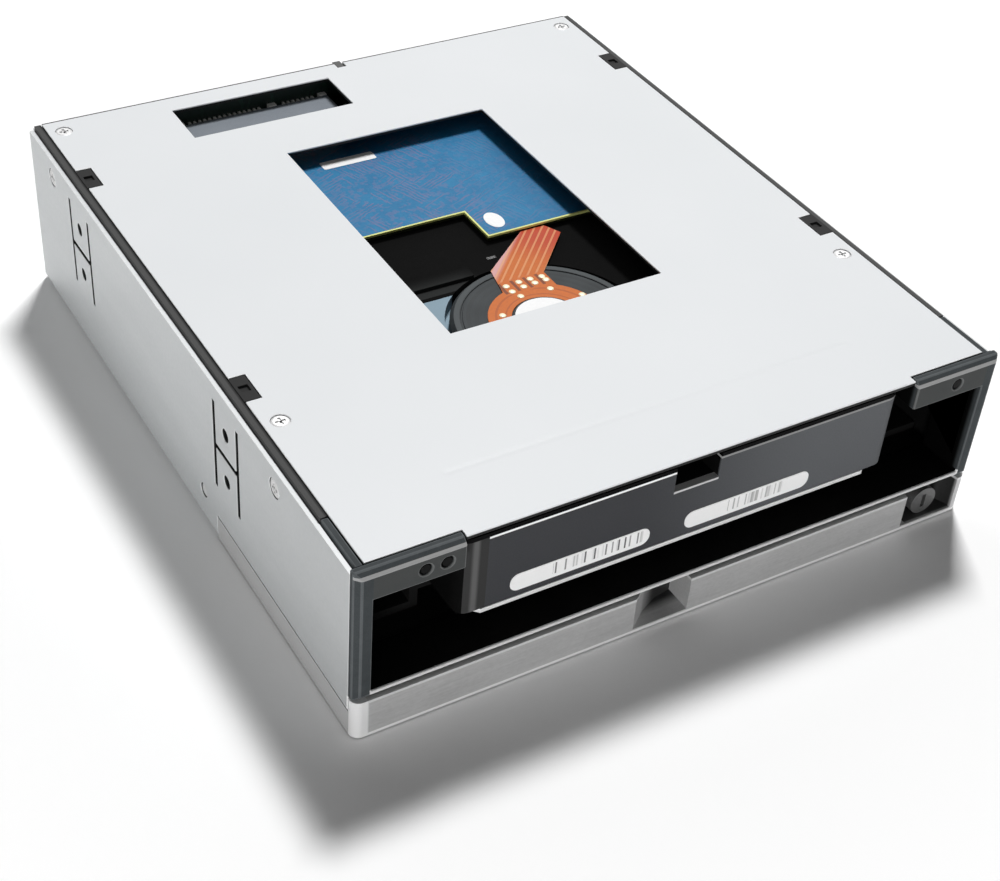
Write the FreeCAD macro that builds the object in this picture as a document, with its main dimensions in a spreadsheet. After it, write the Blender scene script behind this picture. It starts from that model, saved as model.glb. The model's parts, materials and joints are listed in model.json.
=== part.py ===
import FreeCAD, Part
import math
import os
from types import SimpleNamespace

import Sketcher
from FreeCAD import Placement, Rotation, Vector

# A hot-swap cage that holds one 3.5-inch disk drive, without a tray, in a half-height 5.25-inch bay.
#
# Bench frame used below: X runs across the front, Y from the cage's front plane back to the connectors,
# Z up from the face that the cage rests on. The windowed plate is on top. Every sub-part is then moved
# along Y, so that the finished cage has its origin at the bottom centre of its outline.

# --------------------------------------------------------------------------------------------------
# Driving dimensions, in millimetres
# --------------------------------------------------------------------------------------------------

DIMENSIONS = [
    # the cage as a whole
    ("body_width", 146.0, "across the two side walls, the 5.25-inch bay width"),
    ("body_height", 41.3, "underside to the top of the windowed plate, half height"),
    ("connector_room", 15.5, "rear face of the cage behind the drive's rear end"),
    ("bezel_proud", 2.0, "front frame and door lip in front of the front plane"),
    ("header_reach", 3.6, "rear connectors behind the rear panel"),
    ("steel", 1.0, "sheet thickness of cover and rear panel"),
    ("seat_gap", 0.2, "clearance between fixed neighbours"),
    ("slide_gap", 0.3, "clearance between moving neighbours"),
    ("screw_gap", 0.1, "clearance round screw heads and shanks"),
    ("head_seat", 0.6, "depth that sunk screw heads rest at"),
    ("head_height", 0.5, "sunk screw heads and the low heads on the drive"),
    # windowed plate
    ("plate_thickness", 1.0, "windowed plate"),
    ("plate_inset", 2.9, "plate edge in from the side walls"),
    ("plate_setback", 0.8, "front corners of the plate behind the front plane"),
    ("tongue_setback", 1.0, "front edge of the plate's tongue behind the frame's face"),
    ("window_centre", 0.7, "motor window, centre across"),
    ("window_lead", 2.2, "motor window's front edge in front of the spindle"),
    ("window_width", 50.8, "motor window across"),
    ("window_rear", 35.4, "motor window's rear edge in front of the cage's rear face"),
    ("socket_window_centre", -20.8, "connector window, centre across"),
    ("socket_window_lead", 0.6, "connector window's front edge in front of the receptacle"),
    ("socket_window_width", 40.2, "connector window across"),
    ("socket_window_length", 13.6, "connector window front to back"),
    ("notch_front", 53.6, "centre of the front hook notches"),
    ("notch_rear", 27.6, "centre of the rear hook notches in front of the rear face"),
    ("notch_width", 8.0, "hook notch along the edge"),
    ("notch_reach", 3.4, "hook notch in from the edge"),
    ("plate_screw_inset", 3.5, "plate screws in from the plate's edge"),
    ("plate_screw_front", 41.8, "front plate screws"),
    ("plate_screw_rear", 6.2, "rear plate screws in front of the rear face"),
    ("plate_screw_shank", 1.0, "plate screw shank radius"),
    ("plate_screw_head", 1.9, "plate screw head radius"),
    ("plate_screw_length", 3.0, "plate screws below their heads"),
    ("swage_front", 14.2, "pressed line across the plate"),
    ("swage_width", 2.4, "pressed line front to back"),
    ("swage_inset", 4.0, "ends of the pressed line in from the plate's tongue"),
    ("swage_sink", 0.25, "depth of the pressed line"),
    # outer cover
    ("cover_drop", 1.2, "top edge of the side walls below the plate's face"),
    ("cover_bend", 1.6, "outside bend radius of the cover"),
    ("cover_front", 0.5, "front edge of the side walls"),
    ("bay_hole_front", 53.4, "front bay-mounting holes"),
    ("bay_hole_spacing", 79.25, "front to rear bay-mounting holes, 5.25-inch standard"),
    ("bay_hole_near", 10.0, "upper bay-mounting holes below the plate's face"),
    ("bay_hole_far", 21.84, "lower bay-mounting holes below the plate's face"),
    ("bay_hole_radius", 1.5, "bay-mounting holes"),
    ("tongue_slot_half", 5.5, "slots beside the spring tongues, from the hole line"),
    ("tongue_slot_width", 1.4, "slots beside the spring tongues"),
    ("tongue_slot_length", 21.8, "slots beside the spring tongues, up and down"),
    ("tongue_cut", 1.2, "cut between the ends of each pair of tongues"),
    ("side_screw_front", 31.0, "front side screws"),
    ("side_screw_rear", 15.0, "rear side screws in front of the rear face"),
    ("side_screw_depth", 5.8, "side screws below the plate's face"),
    ("side_screw_shank", 1.1, "side screw shank radius"),
    ("side_screw_head", 2.1, "side screw head radius"),
    ("side_screw_length", 4.0, "side screws inward from their heads"),
    # front frame
    ("frame_bar", 3.5, "upright bars of the front frame"),
    ("frame_foot", 9.8, "underside of the front frame"),
    ("frame_sill", 1.9, "bottom bar of the front frame"),
    ("frame_head", 6.7, "top blocks of the front frame, down from the plate's face"),
    ("frame_bevel", 1.2, "bevel round the front frame"),
    ("collar_depth", 9.0, "frame collar inside the cover"),
    ("block_depth", 12.0, "lamp blocks inside the cover"),
    ("border_depth", 2.0, "borders beside the plate, up and down into the blocks"),
    ("lamp_drop", 3.8, "lamp centres below the plate's face"),
    ("lamp_radius", 1.1, "light pipes"),
    ("lamp_inner", 3.8, "inner left lamp out from the drive's opening"),
    ("lamp_pitch", 4.3, "inner to outer left lamp"),
    ("lamp_single", 10.9, "right lamp out from the drive's opening"),
    ("lens_sink", 0.2, "light pipes behind the frame's face"),
    ("lamp_board_inset", 0.7, "lamp boards in from the ends of the lamp blocks"),
    ("lamp_board_height", 4.6, "lamp boards up and down"),
    ("lamp_board_thickness", 1.2, "lamp boards front to back"),
    # deck and drive guides
    ("deck_thickness", 1.0, "deck between the bay and the door pocket"),
    ("deck_slot_rear", 28.0, "air slots of the deck in front of the rear face"),
    ("deck_slot_length", 12.0, "air slots of the deck front to back"),
    ("deck_slot_width", 6.0, "air slots of the deck across"),
    ("deck_slot_row", 60.0, "first to last air slot of the deck"),
    ("guide_front", 14.5, "front ends of the drive guides"),
    ("guide_web", 1.8, "web and flanges of the guides"),
    ("drive_gap", 0.5, "drive to guide on each side"),
    ("ride_gap", 0.4, "drive to ledges above and below"),
    ("ledge_reach", 4.5, "ledges in over the edges of the drive"),
    ("border_drop", 0.3, "guide border below the plate's face"),
    ("hook_drop", 0.05, "hooks of the guides below the plate's face"),
    ("hook_wall", 0.7, "wall round the sunk middle of each hook"),
    ("hook_sink", 0.6, "sunk middle of each hook"),
    ("rib_front", 36.0, "first stiffening rib"),
    ("rib_rear", 17.0, "last stiffening rib in front of the rear face"),
    ("rib_thickness", 1.6, "stiffening ribs"),
    ("spring_window", 26.0, "spring windows in the guides, front to back"),
    ("spring_room", 0.5, "spring windows above and below the springs"),
    ("spring_height", 9.0, "leaf springs up and down"),
    ("spring_steel", 0.4, "leaf spring thickness"),
    ("spring_crest", 4.0, "half length of a spring's crest"),
    ("spring_slope", 11.5, "foot of a spring's slope from its middle"),
    ("spring_end", 15.0, "end of a spring from its middle"),
    ("boss_radius", 3.0, "rear screw bosses of the guides"),
    ("boss_room", 0.9, "rear screw bosses to the guide's flanges"),
    ("rear_screw_shank", 1.25, "rear screw shank radius"),
    ("rear_screw_head", 2.6, "rear screw head radius"),
    ("rear_screw_rise", 1.4, "rear screw head height"),
    ("rear_screw_length", 7.0, "rear screws into the bosses"),
    ("pad_reach", 4.5, "side screw pads in from the guide's border"),
    ("pad_half", 3.0, "half size of the side screw pads"),
    # backplane and connectors
    ("header_room", 4.8, "rear face of the backplane to the cage's rear face"),
    ("board_thickness", 1.6, "backplane board"),
    ("board_grip", 1.1, "backplane edges held in the guides' grooves"),
    ("groove_gap", 0.05, "grooves of the guides round the backplane"),
    ("air_slot_foot", 2.5, "long air slot above the backplane's foot"),
    ("air_slot_height", 4.0, "long air slot up and down"),
    ("air_slot_width", 34.0, "long air slot across"),
    ("air_slot_left", -40.0, "left end of the long air slot"),
    ("air_hole_foot", 5.0, "air opening above the backplane's foot"),
    ("air_hole_height", 16.0, "air opening up and down"),
    ("air_hole_width", 24.0, "air opening across"),
    ("air_hole_left", 22.0, "left edge of the air opening"),
    ("plug_centre", -20.68, "drive connector, centre across"),
    ("plug_depth", 3.6, "centre of the drive connector below the drive's board side"),
    ("plug_overlap", 4.7, "receptacle forward of the drive's rear end"),
    ("plug_base", 10.9, "plug body forward of the drive's rear end"),
    ("plug_wall", 1.5, "side walls of the drive's plug"),
    ("receptacle_width", 38.8, "drive receptacle across"),
    ("receptacle_height", 6.8, "drive receptacle up and down"),
    ("receptacle_tail", 1.4, "low rear part of the receptacle"),
    ("receptacle_step", 1.0, "low rear part in from the receptacle's sides"),
    ("tongue_thickness", 1.2, "contact tongues"),
    ("tongue_length", 4.8, "contact tongues of the plug"),
    ("contact_pitch", 1.27, "contacts of the drive connector"),
    ("contact_first", 15.9, "first power contact from the connector's centre"),
    ("contact_width", 0.6, "contact tails across"),
    ("contact_drop", 1.4, "contact tails and tabs below the receptacle's top"),
    ("contact_rise", 1.2, "contact tails up and down"),
    ("tab_width", 2.0, "hold-down tabs across"),
    ("tab_rise", 1.6, "hold-down tabs up and down"),
    ("header_height", 8.4, "rear headers behind the backplane"),
    ("header_depth", 7.0, "rear headers up and down"),
    ("header_wall", 1.0, "shrouds of the rear headers"),
    ("header_base", 2.0, "solid base of the rear headers"),
    ("data_centre", 6.0, "data header, centre across"),
    ("data_width", 14.4, "data header across"),
    ("power_centre", -24.0, "power header, centre across"),
    ("power_width", 24.6, "power header across"),
    ("vent_left", 22.0, "first vent slot of the rear panel"),
    ("vent_width", 2.4, "vent slots across"),
    ("vent_height", 16.0, "vent slots up and down"),
    ("vent_pitch", 4.8, "vent slot to vent slot"),
    ("header_margin", 0.4, "rear panel cut-outs round the headers"),
    ("rear_tab_centre", 4.9, "tab of the rear panel in the plate's rear edge"),
    ("rear_tab_width", 2.0, "tab of the rear panel across"),
    ("rear_tab_reach", 2.4, "tab of the rear panel, forward"),
    # drive
    ("drive_width", 101.6, "3.5-inch drive across"),
    ("drive_length", 147.0, "3.5-inch drive front to back"),
    ("drive_height", 20.0, "3.5-inch drive up and down"),
    ("drive_front", 1.5, "front face of the drive behind the front plane"),
    ("drive_drop", 4.0, "board side of the drive below the plate's face"),
    ("casting_chamfer", 0.8, "cut lower edges of the casting"),
    ("casting_corner", 3.0, "rounded upright corners of the casting"),
    ("lid_thickness", 1.0, "drive lid"),
    ("lid_inset", 2.6, "drive lid in from the drive's sides"),
    ("lid_end", 0.3, "drive lid in from the drive's ends"),
    ("lid_cut", 3.0, "cut corners of the drive lid"),
    ("lid_dish_inset", 4.0, "pressed dish in from the lid's sides"),
    ("lid_dish_sink", 0.4, "depth of the pressed dish"),
    ("lid_screw_inset", 4.5, "lid screws in from the lid's edges"),
    ("lid_screw_shank", 1.15, "lid screw shank radius"),
    ("lid_screw_head", 2.4, "lid screw head radius"),
    ("gasket_thickness", 0.6, "gasket under the drive lid"),
    ("gasket_inset", 8.0, "gasket in from the lid's edges"),
    ("circuit_thickness", 1.2, "drive circuit board"),
    ("circuit_sink", 0.4, "circuit board below the board side of the drive"),
    ("circuit_left", 41.8, "front edge of the circuit board behind the spindle, left part"),
    ("circuit_right", 31.0, "front edge of the circuit board behind the spindle, right part"),
    ("circuit_step", 3.4, "step in the front edge of the circuit board"),
    ("circuit_rear", 0.8, "rear edge of the circuit board in from the drive's end"),
    ("circuit_gap", 0.3, "bed of the casting beside and behind the circuit board"),
    ("circuit_screw_inset", 5.0, "board screws in from the board's edges"),
    ("circuit_screw_shank", 0.95, "board screw shank radius"),
    ("circuit_screw_head", 2.1, "board screw head radius"),
    ("circuit_screw_length", 3.6, "board screws below their heads"),
    ("pillar_height", 0.6, "pillars of the casting under the circuit board"),
    ("pillar_half", 2.4, "half size of the pillars under the board screws"),
    ("rail_width", 3.3, "side rails of the casting beside the circuit board"),
    ("grip_left", -4.0, "left edge of the notch in the drive's front"),
    ("grip_width", 10.4, "notch in the drive's front, across"),
    ("grip_reach", 6.0, "notch in the drive's front, front to back"),
    ("grip_depth", 6.0, "notch in the drive's front, up and down"),
    ("bed_lead", 30.0, "front edge of the sunk bed in front of the spindle"),
    ("step_rise", 0.8, "low step in the bed, between the motor and the circuit board"),
    ("step_length", 11.0, "low step front to back"),
    ("step_inner", 6.0, "inner end of the low step, left of the middle"),
    ("drive_hole_radius", 1.45, "mounting holes of the drive"),
    ("drive_hole_depth", 4.0, "mounting holes of the drive"),
    ("drive_hole_level", 6.35, "side mounting holes below the board side"),
    ("drive_hole_near", 28.5, "rear side mounting holes from the drive's end"),
    ("drive_hole_far", 130.1, "front side mounting holes from the drive's end"),
    ("base_hole_half", 47.63, "mounting holes of the board side out from the middle"),
    ("base_hole_near", 41.28, "rear mounting holes of the board side from the drive's end"),
    ("base_hole_spacing", 44.45, "rear to front mounting holes of the board side"),
    ("spindle_place", 54.5, "motor centre behind the front plane"),
    ("motor_radius", 20.5, "motor disc"),
    ("motor_bevel", 1.2, "bevel round the motor disc"),
    ("motor_drop", 1.4, "motor disc below the board side"),
    ("well_gap", 1.0, "motor well round the motor disc"),
    ("well_depth", 5.0, "motor well below the board side"),
    ("hub_radius", 7.4, "motor hub"),
    ("hub_rise", 0.5, "motor hub above the motor disc"),
    ("flex_gap", 0.2, "flexible circuit round the hub and in front of the board"),
    ("flex_ring", 5.0, "flexible circuit's ring, inside to outside"),
    ("flex_thickness", 0.25, "flexible circuit"),
    ("flex_root", 9.0, "root of the flexible circuit's strip behind the spindle"),
    ("flex_neck", 15.0, "right side of the strip turns towards the board, behind the spindle"),
    ("flex_rise", 20.0, "left side of the strip turns towards the board, behind the spindle"),
    ("flex_left", 4.6, "left side of the strip at its root, from the spindle"),
    ("flex_right", 8.0, "right side of the strip at its root, from the spindle"),
    ("flex_corner", 19.6, "outer corner of the strip, right of the spindle"),
    ("flex_end", 4.0, "end of the strip across"),
    # door
    ("door_foot", 0.3, "underside of the door"),
    ("door_top", 9.5, "top of the door lip"),
    ("leaf_top", 9.0, "top of the door leaf"),
    ("leaf_thickness", 1.4, "door leaf"),
    ("leaf_length", 39.0, "rear edge of the door leaf"),
    ("lip_thickness", 2.2, "front lip of the door"),
    ("hem_thickness", 1.0, "hem along the underside of the lip"),
    ("flange_thickness", 2.4, "side flanges of the door"),
    ("flange_length", 59.0, "rear ends of the side flanges"),
    ("flange_height", 6.0, "top of the visible side flanges"),
    ("door_corner", 2.0, "rounded front corners of the door"),
    ("finger_right", 1.2, "upright right wall of the finger notch, from the middle"),
    ("finger_reach", 13.0, "ramp of the finger notch, from its right wall to the left"),
    ("finger_depth", 6.2, "finger notch at its right wall"),
    ("cup_set", 1.0, "straight start of the cups behind the lip's face"),
    ("cup_wall", 1.2, "wall behind the notch and the recess"),
    ("lock_inset", 9.4, "lock in from the cage's side"),
    ("lock_level", 4.6, "lock, centre up from the underside"),
    ("lock_recess", 7.0, "recess round the lock"),
    ("lock_radius", 3.3, "lock barrel"),
    ("lock_fit", 0.05, "running clearance round the barrel"),
    ("lock_wall", 1.5, "block round the lock barrel"),
    ("lock_face", 1.6, "face of the lock barrel behind the lip's face"),
    ("lock_rear", 11.0, "rear face of the lock block"),
    ("lock_end", 0.2, "lock barrel behind its block"),
    ("key_width", 1.0, "key slot across"),
    ("key_height", 3.4, "key slot up and down"),
    ("key_depth", 1.6, "key slot"),
    ("cam_width", 5.0, "lock cam across"),
    ("cam_height", 2.4, "lock cam up and down"),
    ("cam_thickness", 1.4, "lock cam"),
    ("arm_thickness", 3.8, "door arms across"),
    ("arm_height", 3.8, "door arms up and down"),
    ("arm_front", 14.0, "front ends of the door arms"),
    ("arm_rear", 100.0, "rear ends of the door arms"),
    ("arm_corner", 1.2, "cut corners of the door arms"),
    ("pin_radius", 1.1, "guide pins"),
    ("pin_place", 95.0, "guide pins behind the front plane"),
    ("pin_gap", 0.15, "guide pins to the grooves of the tracks"),
    ("track_front", 44.0, "front ends of the door tracks"),
    ("track_rear", 101.0, "rear ends of the door tracks"),
    ("track_width", 5.0, "door tracks across"),
    ("track_stop", 2.0, "closed rear end of the tracks' grooves"),
    ("track_groove", 3.0, "grooves of the tracks, across"),
    ("ear_centre", 65.9, "riveted ears of the tracks"),
    ("ear_width", 9.0, "riveted ears front to back"),
    ("rivet_radius", 0.9, "rivet shank radius"),
    ("rivet_head", 1.6, "rivet head radius"),
    ("rivet_length", 3.4, "rivets inward from their heads"),
]


class Size:
    """A length from the sheet, or one worked out from such lengths, with its expression."""

    def __init__(self, number, text):
        self.number = number
        self.text = text

    def joined(self, other, sign, number):
        return Size(number, f"({self.text} {sign} {as_size(other).text})")

    def __add__(self, other):
        return self.joined(other, "+", self.number + as_size(other).number)

    def __sub__(self, other):
        return self.joined(other, "-", self.number - as_size(other).number)

    def __mul__(self, other):
        return self.joined(other, "*", self.number * as_size(other).number)

    def __truediv__(self, other):
        return self.joined(other, "/", self.number / as_size(other).number)

    def __neg__(self):
        return self * -1

    def __rsub__(self, other):
        return as_size(other) - self

    __radd__ = __add__
    __rmul__ = __mul__


def as_size(value):
    return value if isinstance(value, Size) else Size(float(value), repr(float(value)))


doc = FreeCAD.newDocument("drive_cage")
sheet = doc.addObject("Spreadsheet::Sheet", "dims")
for row, (alias, number, meaning) in enumerate(DIMENSIONS, 1):
    sheet.set(f"A{row}", alias)
    sheet.set(f"B{row}", str(number))
    sheet.set(f"C{row}", meaning)
    sheet.setAlias(f"B{row}", alias)
doc.recompute()
d = SimpleNamespace(**{alias: Size(number, "dims." + alias) for alias, number, _ in DIMENSIONS})

# places that several sub-parts share
half_width = d.body_width / 2
wall_inside = half_width - d.steel
plate_half = half_width - d.plate_inset
plate_under = d.body_height - d.plate_thickness
drive_half = d.drive_width / 2
drive_top = d.body_height - d.drive_drop
drive_foot = drive_top - d.drive_height
drive_rear = d.drive_front + d.drive_length
body_depth = drive_rear + d.connector_room
rear_plane = body_depth - d.steel
deck_top = d.frame_foot + d.deck_thickness
web_inside = drive_half + d.drive_gap
web_outside = web_inside + d.guide_web
border_inside = plate_half + d.seat_gap
border_outside = wall_inside - d.seat_gap
head_foot = drive_top + d.ride_gap
board_front = body_depth - d.header_room - d.board_thickness
plug_level = drive_top - d.plug_depth
receptacle_nose = drive_rear - d.plug_overlap
lip_front = -d.bezel_proud
tongue_half = web_inside - d.slide_gap
floor_front = lip_front + d.cup_set + d.lock_recess + d.cup_wall + d.slide_gap
origin_depth = (body_depth + d.header_reach - d.bezel_proud) / 2

sub_parts = []

# --------------------------------------------------------------------------------------------------
# Sketch outlines
# --------------------------------------------------------------------------------------------------


def constrain(sketch, kind, *elements_and_size):
    """Adds one constraint; a size at the end is bound to the sheet."""
    *elements, last = elements_and_size
    if not isinstance(last, Size):
        sketch.addConstraint(Sketcher.Constraint(kind, *elements_and_size))
        return
    index = sketch.addConstraint(Sketcher.Constraint(kind, *elements, last.number))
    sketch.setExpression(f"Constraints[{index}]", last.text)


def pin_point(sketch, curve, point, across, up):
    """Ties one point of a curve to the sketch's origin."""
    constrain(sketch, "DistanceX", -1, 1, curve, point, across)
    constrain(sketch, "DistanceY", -1, 1, curve, point, up)


def polygon(sketch, corners):
    """A closed outline through the given corners."""
    corners = [(as_size(across), as_size(up)) for across, up in corners]
    points = [Vector(across.number, up.number, 0) for across, up in corners]
    first = sketch.GeometryCount
    for start, end in zip(points, points[1:] + points[:1]):
        sketch.addGeometry(Part.LineSegment(start, end), False)
    for index, (across, up) in enumerate(corners):
        following = (index + 1) % len(corners)
        constrain(sketch, "Coincident", first + index, 2, first + following, 1)
        pin_point(sketch, first + index, 1, across, up)


def rectangle(sketch, left, low, width, height):
    """A rectangle from its lower left corner."""
    left, low, width, height = (as_size(value) for value in (left, low, width, height))
    corners = [(left, low), (left + width, low), (left + width, low + height), (left, low + height)]
    points = [Vector(across.number, up.number, 0) for across, up in corners]
    first = sketch.GeometryCount
    for start, end in zip(points, points[1:] + points[:1]):
        sketch.addGeometry(Part.LineSegment(start, end), False)
    for side in range(4):
        constrain(sketch, "Coincident", first + side, 2, first + (side + 1) % 4, 1)
        constrain(sketch, "Vertical" if side % 2 else "Horizontal", first + side)
    pin_point(sketch, first, 1, left, low)
    constrain(sketch, "DistanceX", first, 1, first, 2, width)
    constrain(sketch, "DistanceY", first + 1, 1, first + 1, 2, height)


def circle(sketch, across, up, radius):
    """A full circle."""
    across, up, radius = as_size(across), as_size(up), as_size(radius)
    centre = Vector(across.number, up.number, 0)
    curve = sketch.addGeometry(Part.Circle(centre, Vector(0, 0, 1), radius.number), False)
    pin_point(sketch, curve, 3, across, up)
    constrain(sketch, "Radius", curve, radius)


HEAD_SIDES, SHANK_SIDES = 16, 6


def many_sided(sketch, across, up, radius, sides, upright=False):
    """A regular outline with a corner level with its centre, or above it."""
    across, up, radius = as_size(across), as_size(up), as_size(radius)
    turns = [2 * math.pi * corner / sides for corner in range(sides)]
    steps = [(math.sin(turn), math.cos(turn)) if upright else (math.cos(turn), math.sin(turn))
             for turn in turns]
    polygon(sketch, [(across + radius * right, up + radius * high) for right, high in steps])


def hexagon(sketch, across, up, radius, upright=False):
    """The six-sided outline that stands for a screw's core or its pilot hole."""
    many_sided(sketch, across, up, radius, SHANK_SIDES, upright)


def head_outline(sketch, across, up, radius):
    """The outline of a small round seat or hole, with as many sides as a screw's head."""
    many_sided(sketch, across, up, radius, HEAD_SIDES)


def half_disc(sketch, across, up, radius):
    """A half disc on the far side of a straight edge."""
    across, up, radius = as_size(across), as_size(up), as_size(radius)
    centre = Vector(across.number, up.number, 0)
    full = Part.Circle(centre, Vector(0, 0, 1), radius.number)
    arc = sketch.addGeometry(Part.ArcOfCircle(full, 0, math.pi), False)
    reach = Vector(radius.number, 0, 0)
    line = sketch.addGeometry(Part.LineSegment(centre - reach, centre + reach), False)
    constrain(sketch, "Coincident", arc, 2, line, 1)
    constrain(sketch, "Coincident", line, 2, arc, 1)
    constrain(sketch, "Horizontal", line)
    constrain(sketch, "PointOnObject", arc, 3, line)
    pin_point(sketch, arc, 3, across, up)
    constrain(sketch, "Radius", arc, radius)


# --------------------------------------------------------------------------------------------------
# Bodies
# --------------------------------------------------------------------------------------------------

PLANES = {"X": "YZ_Plane", "Y": "XZ_Plane", "Z": "XY_Plane"}


class Piece:
    """One PartDesign body. Prisms run from a start place towards the positive end of an axis."""

    def __init__(self, name):
        self.body = doc.addObject("PartDesign::Body", name)
        self.body.Label = name
        self.body.AllowCompound = True
        self.body.setExpression("Placement.Base.y", (-origin_depth).text)
        sub_parts.append(self.body)

    def origin(self, role):
        return next(item for item in self.body.Origin.OriginFeatures if item.Role == role)

    def feature(self, kind, label):
        made = self.body.newObject(kind, f"{self.body.Name}_{label}")
        self.body.Tip = made
        return made

    def sketch(self, axis, start, shapes):
        """A sketch square to an axis; each shape is a drawing function and its arguments."""
        made = self.body.newObject("Sketcher::SketchObject", f"{self.body.Name}_sketch")
        made.AttachmentSupport = (self.origin(PLANES[axis]), [""])
        made.MapMode = "FlatFace"
        start = as_size(start)
        along_normal = -start if axis == "Y" else start
        made.setExpression("AttachmentOffset.Base.z", along_normal.text)
        for draw, *arguments in shapes:
            draw(made, *arguments)
        return made

    def prism(self, kind, axis, start, length, shapes, backwards):
        made_sketch = self.sketch(axis, start, shapes)
        made = self.feature(kind, "prism")
        made.Profile = made_sketch
        made.setExpression("Length", as_size(length).text)
        made.Reversed = backwards
        made_sketch.Visibility = False
        return made

    def pad(self, axis, start, length, *shapes):
        return self.prism("PartDesign::Pad", axis, start, length, shapes, axis == "Y")

    def pocket(self, axis, start, length, *shapes):
        """Cuts, and checks that the cut took something away."""
        doc.recompute()
        before = self.body.Shape.Volume
        made = self.prism("PartDesign::Pocket", axis, start, length, shapes, axis != "Y")
        doc.recompute()
        if self.body.Shape.Volume >= before:
            raise RuntimeError(f"{made.Name} cuts nothing")
        return made

    def turned(self, profile):
        """A solid turned about the vertical line through the sketch's own origin."""
        made_sketch = self.sketch("Y", 0, [(polygon, profile)])
        made = self.feature("PartDesign::Revolution", "turned")
        made.Profile = made_sketch
        made.ReferenceAxis = (made_sketch, ["V_Axis"])
        made.Angle = 360
        return made

    def repeated(self, feature, axis, length, count):
        """Copies of one feature in a row, from the first place to the last."""
        made = self.feature("PartDesign::LinearPattern", "row")
        made.Originals = [feature]
        made.Direction = (self.origin(f"{axis}_Axis"), [""])
        made.setExpression("Length", as_size(length).text)
        made.Occurrences = count
        self.body.Tip = made
        return made

    def dressed(self, kind, size_name, size, picked):
        """A fillet or chamfer on the edges whose middle the picking function accepts."""
        doc.recompute()
        base = self.body.Tip
        edges = [f"Edge{n}" for n, edge in enumerate(base.Shape.Edges, 1) if picked(edge)]
        if not edges:
            raise RuntimeError(f"{self.body.Name}: no edge picked for {kind}")
        made = self.feature(kind, "dress")
        made.Base = (base, edges)
        made.setExpression(size_name, size.text)
        return made

    def fillet(self, size, picked):
        return self.dressed("PartDesign::Fillet", "Radius", size, picked)

    def chamfer(self, size, picked):
        return self.dressed("PartDesign::Chamfer", "Size", size, picked)


def runs_along(edge, axis):
    """True for a straight edge parallel to an axis."""
    if not isinstance(edge.Curve, Part.Line):
        return False
    return abs(abs(edge.Curve.Direction.dot(axis)) - 1) < 1e-6


def near(value, size):
    return abs(value - as_size(size).number) < 0.01


ALONG_X, ALONG_Y, ALONG_Z = Vector(1, 0, 0), Vector(0, 1, 0), Vector(0, 0, 1)


def solid(kind, name, **sizes):
    """A Part primitive with its sizes bound to the sheet."""
    made = doc.addObject(f"Part::{kind}", name)
    for key, value in sizes.items():
        made.setExpression(key, as_size(value).text)
    return made


def place(item, position, direction=ALONG_Z):
    """Stands a primitive at a place, with its own axis along a direction."""
    item.Placement = Placement(Vector(), Rotation(ALONG_Z, direction))
    for axis, value in zip("xyz", position):
        item.setExpression(f"Placement.Base.{axis}", as_size(value).text)
    return item


def group(name, items):
    """A node of several separate solids."""
    made = doc.addObject("Part::Compound", name)
    made.Label = name
    made.Links = items
    made.setExpression("Placement.Base.y", (-origin_depth).text)
    sub_parts.append(made)
    return made


def screw(name, seat, direction, shank, length, head, rise):
    """A screw or rivet pointing along a direction, with its head on the seat and its thread left off."""
    top = solid("Prism", f"{name}_head", Circumradius=head, Height=rise)
    top.Polygon = HEAD_SIDES
    place(top, [as_size(at) - rise * step for at, step in zip(seat, direction)], direction)
    stem = solid("Prism", f"{name}_stem", Circumradius=shank, Height=length)
    stem.Polygon = SHANK_SIDES
    place(stem, seat, direction)
    made = doc.addObject("Part::Fuse", name)
    made.Base, made.Tool = top, stem
    return made


# --------------------------------------------------------------------------------------------------
# Outer shells
# --------------------------------------------------------------------------------------------------

SIDES = (-1, 1)
plate_screw_places = [(side * (plate_half - d.plate_screw_inset), row)
                      for side in SIDES for row in (d.plate_screw_front, body_depth - d.plate_screw_rear)]
side_screw_rows = [d.side_screw_front, body_depth - d.side_screw_rear]
side_screw_level = d.body_height - d.side_screw_depth
notch_rows = [d.notch_front, body_depth - d.notch_rear]
bay_hole_rows = [d.bay_hole_front, d.bay_hole_front + d.bay_hole_spacing]
bay_hole_levels = [d.body_height - d.bay_hole_near, d.body_height - d.bay_hole_far]
arm_foot = d.steel + d.slide_gap * 2
pin_level = arm_foot + d.arm_height / 2
ear_foot = arm_foot + d.arm_height + d.slide_gap
rivet_level = (ear_foot + d.frame_foot) / 2
rear_tab_foot = plate_under - d.seat_gap - d.steel


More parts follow.
